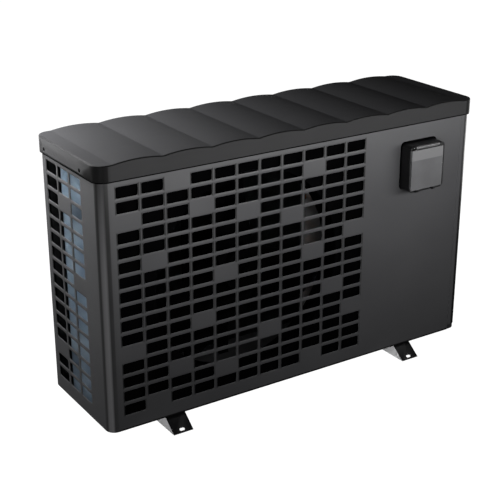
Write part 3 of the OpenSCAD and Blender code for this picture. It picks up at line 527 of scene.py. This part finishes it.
merging = {"sameSpot": 2e-6, "shortest": 1e-6, "flatAngle": 0.6}


def mergedCopy(nodeName):  # a CAD solid's triangles joined into whole faces
    shape = bmesh.new()
    shape.from_mesh(nodes[nodeName].data)
    bmesh.ops.remove_doubles(shape, verts=shape.verts, dist=merging["sameSpot"])
    bmesh.ops.dissolve_degenerate(shape, edges=shape.edges, dist=merging["shortest"])
    flat = math.radians(merging["flatAngle"])
    bmesh.ops.dissolve_limit(shape, angle_limit=flat, verts=shape.verts, edges=shape.edges)
    return shape


def camelName(name):
    first, *rest = name.split("_")
    return first + "".join(word.capitalize() for word in rest)


def softened(nodeName, width, finishName):
    slot = slotOfNode[nodeName]
    piece = newObject(camelName(nodeName), mergedCopy(nodeName), finishName or finishOfSlot[slot])
    if width:
        bevelled(piece, width)
    baked(piece, rounding["smoothSolid"])
    place(piece, bodyOfNode[nodeName], slot, nodeName)


def banded(shape, first, second):  # faces between two rings of as many points
    for i in range(len(first)):
        j = (i + 1) % len(first)
        shape.faces.new([first[i], first[j], second[j], second[i]])


def outward(shape):
    bmesh.ops.recalc_face_normals(shape, faces=shape.faces)
    return shape


def cornerPoints(centreX, centreY, radius, start, end, steps):
    turns = [math.radians(start + (end - start) * i / steps) for i in range(steps + 1)]
    return [(centreX + radius * math.cos(t), centreY + radius * math.sin(t)) for t in turns]


def roundedRing(x0, x1, y0, y1, radius, steps, first):  # quarter turns round the four corner centres
    centres = [(x1, y1), (x0, y1), (x0, y0), (x1, y0)]
    quarters = [(first + k) % 4 for k in range(4)]
    return [spot for q in quarters for spot in cornerPoints(*centres[q], radius, 90 * q, 90 * q + 90, steps)]


# geometry node trees

def nodeTree(name, inputs):
    tree = bpy.data.node_groups.new(name, "GeometryNodeTree")
    tree.interface.new_socket("Geometry", in_out="INPUT", socket_type="NodeSocketGeometry")
    for label, kind, value in inputs:
        socket = tree.interface.new_socket(label, in_out="INPUT", socket_type="NodeSocket" + kind)
        if value is not None:
            socket.default_value = value
    tree.interface.new_socket("Geometry", in_out="OUTPUT", socket_type="NodeSocketGeometry")
    return tree, tree.nodes.new("NodeGroupInput").outputs, tree.nodes.new("NodeGroupOutput").inputs


def grow(piece, tree, **values):
    modifier = piece.modifiers.new(tree.name, "NODES")
    modifier.node_group = tree
    for item in tree.interface.items_tree:
        key = item.name.replace(" ", "")
        key = key[0].lower() + key[1:]
        if item.item_type == "SOCKET" and item.in_out == "INPUT" and key in values:
            modifier[item.identifier] = values[key]
    return piece


def realized(tree, geometry, material, output, merge=None):
    geometry = result(tree, "GeometryNodeRealizeInstances", {0: geometry})
    if merge is not None:
        close = {"Geometry": geometry, "Distance": merge}
        geometry = result(tree, "GeometryNodeMergeByDistance", close)
    painted = result(tree, "GeometryNodeSetMaterial", {"Geometry": geometry, "Material": material})
    tree.links.new(painted, output)


def attribute(tree, name, kind="FLOAT"):
    return result(tree, "GeometryNodeInputNamedAttribute", {"Name": name}, data_type=kind)


def rectangle(tree, width, height):
    return result(tree, "GeometryNodeCurvePrimitiveQuadrilateral", {"Width": width, "Height": height})


def slotSheetTree():  # punches a rounded slot at every vertex with a slotMark, turned by its slotTurn
    tree, given, out = nodeTree("slotSheet", [
        ("Slot Width", "Float", 0.05), ("Slot Height", "Float", 0.0246), ("Corner Radius", "Float", 0.004),
        ("Corner Points", "Int", 4), ("Pitch Across", "Float", 0.0584), ("Pitch Up", "Float", 0.033),
        ("Merge Within", "Float", 2e-5), ("Material", "Material", None),
    ])
    isSlot = result(tree, "FunctionNodeCompare", {0: attribute(tree, "slotMark"), 1: 0.5},
                    data_type="FLOAT", operation="GREATER_THAN")
    parts = node(tree, "GeometryNodeSeparateGeometry", {0: given["Geometry"], 1: isSlot}, domain="POINT")
    hole = result(tree, "GeometryNodeFilletCurve", {
        "Curve": rectangle(tree, given["Slot Width"], given["Slot Height"]),
        "Count": given["Corner Points"], "Radius": given["Corner Radius"],
    }, mode="POLY")
    outer = rectangle(tree, given["Pitch Across"], given["Pitch Up"])
    rings = node(tree, "GeometryNodeJoinGeometry", {0: outer})
    tree.links.new(hole, rings.inputs[0])
    cell = result(tree, "GeometryNodeFillCurve", {0: rings.outputs[0]}, mode="TRIANGLES")
    spin = result(tree, "ShaderNodeCombineXYZ", {0: math.pi / 2, 2: attribute(tree, "slotTurn")})
    cells = result(tree, "GeometryNodeInstanceOnPoints", {
        "Points": parts.outputs[0], "Instance": cell, "Rotation": spin,
    })
    whole = node(tree, "GeometryNodeJoinGeometry", {0: cells})
    tree.links.new(parts.outputs[1], whole.inputs[0])
    realized(tree, whole.outputs[0], given["Material"], out[0], given["Merge Within"])
    return tree


def alongPathTree():  # stands copies of one shape along a path, square to it
    tree, given, out = nodeTree("standAlongPath", [
        ("Shape", "Object", None), ("Pitch", "Float", 0.0022), ("Material", "Material", None),
    ])
    path = result(tree, "GeometryNodeMeshToCurve", {0: given["Geometry"]})
    points = node(tree, "GeometryNodeCurveToPoints", {"Curve": path, "Length": given["Pitch"]}, mode="LENGTH")
    shape = node(tree, "GeometryNodeObjectInfo", {"Object": given["Shape"]}).outputs["Geometry"]
    aim = result(tree, "FunctionNodeAlignEulerToVector", {"Vector": points.outputs["Tangent"]},
                 axis="X", pivot_axis="Z")
    copies = result(tree, "GeometryNodeInstanceOnPoints", {
        "Points": points.outputs[0], "Instance": shape, "Rotation": aim,
    })
    realized(tree, copies, given["Material"], out[0])
    return tree


def onPointsTree():  # a copy of one shape on every vertex, turned by the turn attribute
    tree, given, out = nodeTree("copyOnPoints", [
        ("Shape", "Object", None), ("Scale", "Float", 1.0), ("Material", "Material", None),
    ])
    shape = node(tree, "GeometryNodeObjectInfo", {"Object": given["Shape"]}).outputs["Geometry"]
    turn = attribute(tree, "turn", "FLOAT_VECTOR")
    copies = result(tree, "GeometryNodeInstanceOnPoints", {
        "Points": given["Geometry"], "Instance": shape, "Rotation": turn, "Scale": given["Scale"],
    })
    realized(tree, copies, given["Material"], out[0])
    return tree


def wiresTree():  # round wires along every edge
    tree, given, out = nodeTree("wiresOnEdges", [
        ("Radius", "Float", 0.001), ("Sides", "Int", 8), ("Material", "Material", None),
    ])
    lines = result(tree, "GeometryNodeMeshToCurve", {0: given["Geometry"]})
    size = {"Resolution": given["Sides"], "Radius": given["Radius"]}
    ring = result(tree, "GeometryNodeCurvePrimitiveCircle", size)
    rods = result(tree, "GeometryNodeCurveToMesh", {"Curve": lines, "Profile Curve": ring, "Fill Caps": True})
    realized(tree, rods, given["Material"], out[0])
    return tree


slotSheet, standAlongPath = slotSheetTree(), alongPathTree()
copyOnPoints, wiresOnEdges = onPointsTree(), wiresTree()


def pattern(name, points, turns, edges=()):  # the points that a node tree works on
    mesh = bpy.data.meshes.new(name)
    mesh.from_pydata([tuple(point) for point in points], list(edges), [])
    if turns:
        turnOfPoint = mesh.attributes.new("turn", "FLOAT_VECTOR", "POINT")
        turnOfPoint.data.foreach_set("vector", [part for turn in turns for part in turn])
    return added(name, mesh)


helpers = []


def helper(name, shape):  # a shape that only modifiers read
    made = bpy.data.objects.new(name, meshOf(name, shape))
    helpers.append(made)
    return made


def lathe(profile, segments=32):  # turned shape, from the bottom's middle to the top's
    shape = bmesh.new()
    rings = []
    for radius, height in profile:
        if radius == 0:
            rings.append([shape.verts.new((0, 0, height * mm))])
        else:
            ring = []
            for i in range(segments):
                turn = math.tau * i / segments
                reach = (radius(turn) if callable(radius) else radius) * mm
                ring.append(shape.verts.new((reach * math.cos(turn), reach * math.sin(turn), height * mm)))
            rings.append(ring)
    for low, high in zip(rings, rings[1:]):
        for i in range(segments):
            j = (i + 1) % segments
            corners = [low[i % len(low)], low[j % len(low)], high[j % len(high)], high[i % len(high)]]
            unique = [v for k, v in enumerate(corners) if v not in corners[:k]]
            if len(unique) > 2:
                shape.faces.new(unique)
    return outward(shape)


# front sheet: wraps round the left corner, punched with slots

grille = {
    "columns": 11, "rows": 16, "pitchAcross": 58.4, "pitchUp": 33.0, "slotWidth": 50.0, "slotHeight": 24.6,
    "cornerRadius": 4.0, "cornerPoints": 4, "firstX": 63.0, "firstDown": 27.0,
    "sideColumns": 3, "firstSideY": 110.0, "bend": 22.0, "bendSteps": 10, "thickness": 1.2,
    "underCover": 24.0, "backReturn": 70.0, "seamGap": 0.2, "edgeRound": 0.28, "edgeAngle": 50,
    "blanks": [
        (2, 0), (8, 1), (0, 2), (3, 2), (5, 3), (7, 4), (1, 5), (10, 6), (4, 7), (8, 7), (3, 10), (9, 10),
        (0, 11), (6, 12), (10, 12), (2, 13), (4, 14), (1, 15), (8, 15),
    ],
    "sideBlanks": [(0, 7), (1, 2), (2, 13)],
}


def buildFrontSheet():
    g = grille
    half = halfWidth / mm
    depth = (backY - frontY) / mm
    bottom = casingLow.z / mm
    top = casingTop.z / mm
    seam = (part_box("right_panel")[0].x - middleX) / mm - g["seamGap"]
    firstZ = top - g["underCover"] - g["firstDown"]
    levels = [bottom] + [firstZ + g["pitchUp"] * (0.5 - g["rows"] + i) for i in range(g["rows"] + 1)]
    levels += [top - g["underCover"], top]
    firstX = g["firstX"] - half
    frontLines = [firstX + g["pitchAcross"] * (i - 0.5) for i in range(g["columns"] + 1)]
    sideLines = [g["firstSideY"] + g["pitchAcross"] * (i - 0.5) for i in range(g["sideColumns"] + 1)]
    r = g["bend"]
    path = [(seam, 0.0)] + [(x, 0.0) for x in reversed(frontLines)]
    path += cornerPoints(r - half, r, r, 270, 180, g["bendSteps"])
    sideStart = len(path)
    path += [(-half, y) for y in sideLines]
    path += cornerPoints(r - half, depth - r, r, 180, 90, g["bendSteps"])
    path += [(r - half + g["backReturn"], depth)]
    shape = bmesh.new()
    mark = shape.verts.layers.float.new("slotMark")
    turn = shape.verts.layers.float.new("slotTurn")
    grid = [[shape.verts.new(at(x, y, z)) for z in levels] for x, y in path]
    for i in range(len(path) - 1):
        for j in range(len(levels) - 1):
            row = g["rows"] - j  # rows count down from the top
            column = g["columns"] - i
            sideColumn = i - sideStart
            inRows = 0 <= row < g["rows"]
            if inRows and 0 <= column < g["columns"] and (column, row) not in g["blanks"]:
                spot = shape.verts.new(at(firstX + column * g["pitchAcross"], 0, firstZ - row * g["pitchUp"]))
                spot[mark], spot[turn] = 1.0, 0.0
            elif inRows and 0 <= sideColumn < g["sideColumns"] and (sideColumn, row) not in g["sideBlanks"]:
                y = g["firstSideY"] + sideColumn * g["pitchAcross"]
                spot = shape.verts.new(at(-half, y, firstZ - row * g["pitchUp"]))
                spot[mark], spot[turn] = 1.0, -math.pi / 2
            else:
                shape.faces.new([grid[i][j], grid[i][j + 1], grid[i + 1][j + 1], grid[i + 1][j]])
    piece = newObject("frontSheet", shape, "casingPaint")
    grow(piece, slotSheet, slotWidth=g["slotWidth"] * mm, slotHeight=g["slotHeight"] * mm,
         cornerRadius=g["cornerRadius"] * mm, cornerPoints=g["cornerPoints"],
         pitchAcross=g["pitchAcross"] * mm, pitchUp=g["pitchUp"] * mm, material=finish["casingPaint"])
    walled(piece, g["thickness"])
    bevelled(piece, g["edgeRound"], g["edgeAngle"])
    baked(piece, rounding["smoothSheet"])
    place(piece, "casing", "casing_paint", "front_panel")
    print("front sheet:", len(piece.data.polygons), "faces")


buildFrontSheet()


# top cover: deep skirt and arched ridges

cover = {
    "ridges": 8, "ridgeWidth": 114.5, "valley": 2.2, "rise": 4.7, "stepsPerRidge": 14,
    "corner": 28.0, "cornerSteps": 10, "edge": 3.2, "edgeSteps": 4, "wall": 2.2, "rowsAcross": 6,
    "hemRound": 0.5, "hemAngle": 60, "screwY": (72, 247), "screwUp": 9.0,
    "holeRadius": 4.6, "holeDepth": 6.0, "holeReach": 12, "holeSides": 20,
    "sealInset": 0.3, "sealInner": 5.0, "sealTop": 1, "sealDrop": 2.3, "sealSteps": 8,
}


def coverScrewSpots():
    z = coverLow.z / mm + cover["screwUp"]
    return [(side * halfWidth / mm, y, z) for side in (-1, 1) for y in cover["screwY"]]


def ridgeHeight(x):  # height above the valleys at x millimetres from the middle
    c = cover
    pitch = c["ridgeWidth"] + c["valley"]
    span = pitch * c["ridges"] / 2
    if abs(x) >= span:
        return 0.0
    offset = (x + span) % pitch - pitch / 2
    radius = (c["ridgeWidth"] ** 2 / 4 + c["rise"] ** 2) / (2 * c["rise"])
    if abs(offset) >= c["ridgeWidth"] / 2:
        return 0.0
    return math.sqrt(radius ** 2 - offset ** 2) - radius + c["rise"]


def coverSides():  # half the width, and the front and back faces, in millimetres
    half = (coverHigh.x - coverLow.x) / 2 / mm
    return half, (coverLow.y - frontY) / mm, (coverHigh.y - frontY) / mm


def coverCorners(inset, steps):
    half, low, high = coverSides()
    r = cover["corner"]
    return roundedRing(r - half, half - r, low + r, high - r, r - inset, steps, 3)


def buildCover():
    c = cover
    half, low, high = coverSides()
    valleyZ = coverHigh.z / mm - c["rise"]
    pitch = c["ridgeWidth"] + c["valley"]
    span = pitch * c["ridges"] / 2
    frontLine = []
    for i in range(c["ridges"]):
        start = -span + i * pitch
        frontLine.append(start)
        for k in range(c["stepsPerRidge"] + 1):
            frontLine.append(start + c["valley"] / 2 + c["ridgeWidth"] * k / c["stepsPerRidge"])
    frontLine.append(span)

    def outline(inset):
        corners = coverCorners(inset, c["cornerSteps"])
        right, left = corners[:len(corners) // 2], corners[len(corners) // 2:]
        front = [(x, low + inset) for x in frontLine]
        return front + right + [(x, high - inset) for x in reversed(frontLine)] + left

    shape = bmesh.new()
    loops = [[shape.verts.new(at(x, y, coverLow.z / mm)) for x, y in outline(0)]]
    for k in range(c["edgeSteps"] + 1):
        turn = math.pi / 2 * k / c["edgeSteps"]
        inset = c["edge"] * (1 - math.cos(turn))
        drop = c["edge"] * (1 - math.sin(turn))
        loops.append([shape.verts.new(at(x, y, valleyZ + ridgeHeight(x) - drop)) for x, y in outline(inset)])
    for lower, upper in zip(loops, loops[1:]):
        banded(shape, lower, upper)
    rim = loops[-1]
    corner = c["cornerSteps"] + 1
    side = len(frontLine) + corner
    front, back = rim[:side], rim[side:2 * side]
    leftBack, leftFront = rim[2 * side:2 * side + corner], rim[2 * side + corner:]
    nearRow = leftFront + front
    farRow = leftBack[::-1] + back[::-1]
    rows = [nearRow]
    for k in range(1, c["rowsAcross"]):
        share = k / c["rowsAcross"]
        rows.append([shape.verts.new(a.co.lerp(b.co, share)) for a, b in zip(nearRow, farRow)])
    rows.append(farRow)
    for near, far in zip(rows, rows[1:]):
        for i in range(len(near) - 1):
            shape.faces.new([near[i], near[i + 1], far[i + 1], far[i]])
    bmesh.ops.remove_doubles(shape, verts=shape.verts, dist=merging["shortest"])
    piece = newObject("coverShell", outward(shape), "coverPaint")
    walled(piece, c["wall"])
    bevelled(piece, c["hemRound"], c["hemAngle"])
    holes = bmesh.new()
    wide, deep, out = c["holeRadius"], -c["holeDepth"], c["holeReach"]
    for x, y, z in coverScrewSpots():
        drill = lathe([(0, deep), (wide, deep), (wide, out), (0, out)], c["holeSides"])
        aim = Matrix.Rotation(math.copysign(math.pi / 2, x), 4, "Y")
        drill.transform(Matrix.Translation(at(math.copysign(half, x), y, z)) @ aim)
        holes.from_mesh(meshOf("drill", drill))
    cutter = helper("coverDrill", holes)
    drilled = piece.modifiers.new("holes", "BOOLEAN")
    drilled.object = cutter
    drilled.solver = "EXACT"
    baked(piece)
    place(piece, "casing", "casing_paint", "top_cover")
    print("cover:", len(piece.data.polygons), "faces")


def buildCoverShadowLine():  # a thin dark ring under the skirt, a painted shadow line where the skirt meets the panels
    c = cover
    bottom = coverLow.z / mm
    outer, inner, top, foot = c["sealInset"], c["sealInner"], bottom + c["sealTop"], bottom - c["sealDrop"]
    shape = bmesh.new()
    rings = []
    for inset, z in [(outer, top), (outer, foot), (inner, foot), (inner, top)]:
        rings.append([shape.verts.new(at(x, y, z)) for x, y in coverCorners(inset, c["sealSteps"])])
    for first, second in zip(rings, rings[1:] + rings[:1]):
        banded(shape, first, second)
    piece = newObject("coverSeal", outward(shape), "bayBlack")
    baked(piece)
    place(piece, "casing", "rubber")
    print("cover seal laid")


buildCover()
buildCoverShadowLine()


# screws with a cross recess, one shape per size

screws = {
    "coverScrews": {"node": "cover_screws", "head": 3.3, "rise": 3.0, "shank": 1.8, "length": 8.0},
    "panelScrews": {"node": "panel_screws", "head": 4.5, "rise": 2.2, "shank": 1.8, "length": 8.0,
                    "columns": (201, 460), "levels": (80, 320, 560)},
    # shares of the head's radius or rise; the tip's radius is a share of the shank's
    "head": {"rim": 0.35, "shoulder": (0.88, 0.78), "flat": 0.7},
    "recess": {"arm": 0.62, "slot": 0.16, "waist": 1.4, "floor": 0.45, "taper": 0.8},
    "tip": {"radius": 0.6, "length": 1},
}


def crossRecess(size, taper=1):
    recess = screws["recess"]
    arm, slot = size["head"] * recess["arm"] * taper, size["head"] * recess["slot"] * taper

    def reach(turn):
        ways = (abs(math.cos(turn)), abs(math.sin(turn)))
        return min(arm / max(ways), max(slot / max(min(ways), 1e-3), slot * recess["waist"]))
    return reach


def screwShape(size):
    head, rise, shank, end = size["head"], size["rise"], size["shank"], -size["length"]
    form, recess, tip = screws["head"], screws["recess"], screws["tip"]
    shoulderOut, shoulderUp = form["shoulder"]
    taper, floor = recess["taper"], rise * recess["floor"]
    return lathe([
        (0, end), (shank * tip["radius"], end), (shank, end + tip["length"]), (shank, 0), (head, 0),
        (head, rise * form["rim"]), (head * shoulderOut, rise * shoulderUp), (head * form["flat"], rise),
        (crossRecess(size), rise), (crossRecess(size, taper), floor), (0, floor * taper),
    ])


def buildScrews():
    coverSet, panelSet = screws["coverScrews"], screws["panelScrews"]
    rearSpots = [(x, (backY - frontY) / mm, z) for x in panelSet["columns"] for z in panelSet["levels"]]
    for name, size, spots, finishName in [
        ("coverScrews", coverSet, coverScrewSpots(), "bayBlack"),
        ("panelScrews", panelSet, rearSpots, "zincPlate"),
    ]:
        shape = helper(name + "Shape", screwShape(size))
        if name == "coverScrews":
            turns = [(0, math.copysign(math.pi / 2, x), 0) for x, y, z in spots]
        else:
            turns = [(-math.pi / 2, 0, 0)] * len(spots)
        piece = pattern(name, [at(*spot) for spot in spots], turns)
        grow(piece, copyOnPoints, shape=shape, material=finish[finishName])
        baked(piece)
        place(piece, bodyOfNode[size["node"]], slotOfNode[size["node"]], size["node"])
    print("screws set")


buildScrews()


# round wires of the rear guard, welded to a flat rim

guard = {
    "rim": 9.0, "bar": 2.4, "edgeRound": 0.3, "edgeAngle": 50, "wireSides": 10,
    "uprights": {"count": 27, "radius": 1.05, "shift": -0.4},
    "crossWires": {"count": 6, "radius": 1.25, "shift": 0.5},
}


def buildGuard():
    g = guard
    low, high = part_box("rear_guard")
    left, right, bottom, top = low.x, high.x, low.z, high.z
    rim, bar = g["rim"] * mm, g["bar"] * mm
    slot = slotOfNode["rear_guard"]
    shape = bmesh.new()
    rings = []
    for inset in (rim, 0):
        x0, x1, z0, z1 = left + inset, right - inset, bottom + inset, top - inset
        rings.append([shape.verts.new((x, high.y, z)) for x, z in [(x0, z0), (x1, z0), (x1, z1), (x0, z1)]])
    banded(shape, *rings)
    frameRim = newObject("guardRim", shape, "blackSteel")
    walled(frameRim, (high.y - low.y) / mm)
    bevelled(frameRim, g["edgeRound"], g["edgeAngle"])
    baked(frameRim)
    place(frameRim, "casing", slot, "rear_guard")
    for name, wires, span in [
        ("guardUprights", g["uprights"], right - left), ("guardCrossWires", g["crossWires"], top - bottom),
    ]:
        cell = (span - 2 * rim + bar) / wires["count"]
        y = (high.y + low.y) / 2 + wires["shift"] * mm
        points = []
        for i in range(1, wires["count"]):
            step = rim + i * cell - bar / 2
            if name == "guardUprights":
                points += [(left + step, y, bottom + rim / 2), (left + step, y, top - rim / 2)]
            else:
                points += [(left + rim / 2, y, bottom + step), (right - rim / 2, y, bottom + step)]
        piece = pattern(name, points, None, [(i, i + 1) for i in range(0, len(points), 2)])
        grow(piece, wiresOnEdges, radius=wires["radius"] * mm, sides=g["wireSides"],
             material=finish["blackSteel"])
        baked(piece, rounding["smoothSheet"])
        place(piece, "casing", slot)
    print("rear guard wired")


buildGuard()


# fins of the air coil

fins = {
    "pitch": 2.3, "thickness": 0.16, "waves": 4, "wave": 0.35, "depth": 36.0, "bend": 48.0, "bendSteps": 24,
    "endGap": 0.4,
}


def buildFins():
    low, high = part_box("fin_pack")
    depth, bend, gap = fins["depth"], fins["bend"], fins["endGap"]
    x0 = (low.x - middleX) / mm + depth / 2
    yBack = (high.y - frontY) / mm - depth / 2
    yFront = (low.y - frontY) / mm
    xEnd = (high.x - middleX) / mm
    line = [(x0, yFront + gap), (x0, yBack - bend)]
    line += cornerPoints(x0 + bend, yBack - bend, bend, 180, 90, fins["bendSteps"])[1:]
    line += [(xEnd - gap, yBack)]
    shape = bmesh.new()
    steps = fins["waves"] * 2
    half = fins["thickness"] / 2 * mm
    rows = []
    for side in (-1, 1):
        row = []
        for i in range(steps + 1):
            across = (i / steps - 0.5) * depth * mm
            sway = fins["wave"] * mm * (1 if i % 2 else -1)
            row.append((sway + side * half, across))
        rows.append(row)
    loop = rows[0] + rows[1][::-1]
    bottom = [shape.verts.new((x, y, low.z)) for x, y in loop]
    top = [shape.verts.new((x, y, high.z)) for x, y in loop]
    banded(shape, bottom, top)
    for i in range(steps):
        j = len(loop) - 1 - i
        shape.faces.new([top[i], top[i + 1], top[j - 1], top[j]])
        shape.faces.new([bottom[i], bottom[j], bottom[j - 1], bottom[i + 1]])
    outward(shape)
    outer = shape.verts.layers.float.new("outer")  # 0 on the edge inside the unit, 1 on the outer edge
    for vertex in shape.verts:
        vertex[outer] = vertex.co.y / (depth * mm) + 0.5
    plate = helper("finPlate", shape)
    points = [at(x, y, 0) for x, y in line]
    piece = pattern("finRows", points, None, [(i, i + 1) for i in range(len(points) - 1)])
    grow(piece, standAlongPath, shape=plate, pitch=fins["pitch"] * mm, material=finish["finAluminium"])
    baked(piece)
    place(piece, "casing", "fin_aluminium", "fin_pack")
    print("fins:", len(piece.data.polygons), "faces")


buildFins()


# a dark ring between the controller box and the front sheet, a painted shadow round the box

shadowOutline = {
    "boxHeight": 112, "margin": 2.6, "corner": 12.0, "cornerSteps": 6, "gap": 0.05, "thickness": 1.4,
    "softEdge": 0.5,
}


def buildControllerShadowOutline():
    g = shadowOutline
    low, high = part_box("controller_case")
    inset = g["corner"] - g["margin"]
    x0, x1 = (low.x - middleX) / mm + inset, (high.x - middleX) / mm - inset
    z0, z1 = high.z / mm - g["boxHeight"] + inset, high.z / mm - inset
    line = roundedRing(x0, x1, z0, z1, g["corner"], g["cornerSteps"], 0)
    shape = bmesh.new()
    back, front = [[shape.verts.new(at(x, -y, z)) for x, z in line] for y in (g["gap"], g["thickness"])]
    shape.faces.new(back)
    shape.faces.new(front)
    banded(shape, back, front)
    piece = bevelled(newObject("controllerGasket", outward(shape), "bayBlack"), g["softEdge"])
    baked(piece)
    place(piece, "casing", "rubber")
    print("gasket laid")


buildControllerShadowOutline()


# catches that hold the flap shut, one under each side of its lower edge

catches = {"inset": 4, "width": 9.0, "drop": 7.0, "depth": 6.5, "lip": 2.2, "wall": 2.4, "softEdge": 0.6}


def buildCatches():
    g = catches
    low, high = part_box("flap_clips")
    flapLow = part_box("controller_flap")[0]
    w, d, t = g["width"] / 2 * mm, g["depth"] * mm, g["wall"] * mm
    drop, lip = g["drop"] * mm, g["lip"] * mm
    side = [(0, 0), (0, -drop), (d, -drop), (d, -drop + t + lip), (d - t, -drop + t), (t, -drop + t), (t, 0)]
    shape = bmesh.new()
    ends = [[shape.verts.new((x, y, z)) for y, z in side] for x in (-w, w)]
    shape.faces.new(ends[0])
    shape.faces.new(ends[1])
    banded(shape, *ends)
    hook = helper("catchShape", outward(shape))
    inset = g["inset"] * mm
    spots = [(low.x + inset, low.y, flapLow.z), (high.x - inset, low.y, flapLow.z)]
    piece = pattern("flapCatches", spots, [(0, 0, 0)] * len(spots))
    grow(piece, copyOnPoints, shape=hook, material=finish["caseBlack"])
    bevelled(piece, g["softEdge"])
    baked(piece)
    place(piece, bodyOfNode["flap_clips"], slotOfNode["flap_clips"], "flap_clips")
    print("catches set")


buildCatches()


# everything else starts from its own CAD solid, with its edges rounded

softWidths = {  # millimetres; 0 leaves a round part as it is
    "base_pan": 0.5, "foot_left": 0.7, "foot_right": 0.7, "foot_bolts": 0.5, "right_panel": 0.25,
    "rear_panel": 0.25, "partition_plate": 0.3, "drain_elbow": 0.5, "fan_shroud": 0.5, "fan_rotor": 0.8,
    "fan_nut": 0.4, "motor_shaft": 0.4, "fan_motor": 1.2, "motor_bracket": 0.5, "coil_end_plates": 0.3,
    "return_bends": 0, "compressor": 1.0, "compressor_grommets": 0.8, "compressor_bolts": 0.4,
    "terminal_cap": 1.0, "accumulator": 0.8, "four_way_valve": 0.6, "expansion_valve": 0.5,
    "valve_coils": 0.8, "discharge_pipe": 0, "suction_pipe": 0, "evaporator_pipe": 0, "condenser_pipe": 0,
    "liquid_pipe": 0, "exchanger_vessel": 1.0, "titanium_coil": 0, "inlet_pipe": 0.5, "outlet_pipe": 0.5,
    "inlet_union_nut": 1.2, "outlet_union_nut": 1.2, "union_sockets": 0.6, "flow_switch": 0.8,
    "flow_paddle": 0.4, "electrics_tray": 0.4, "control_board": 0.3, "terminal_block": 0.5,
    "wiring_cover": 1.0, "cable_glands": 0.6, "controller_case": 0.9, "controller_seal": 0.4,
    "display_window": 0.5, "controller_bezel": 0.4, "button_power": 0.8, "button_up": 0.8,
    "button_down": 0.8, "button_mode": 0.8, "controller_flap": 0.3, "flap_pin": 0.3,
}

# fan bay parts darkened beyond their own black as painted shade, so the bay looks dark through the slots; the
# controller seal keeps its own black
bayNodes = (
    "fan_shroud", "fan_rotor", "fan_nut", "motor_bracket", "fan_motor", "motor_shaft", "controller_seal",
)
finishOfNode = {**dict.fromkeys(bayNodes, "bayBlack"), "controller_case": "caseBlack"}

for nodeName, width in softWidths.items():
    softened(nodeName, width, finishOfNode.get(nodeName))
print("softened pieces:", len(softWidths))

for spare in helpers:
    bpy.data.objects.remove(spare)
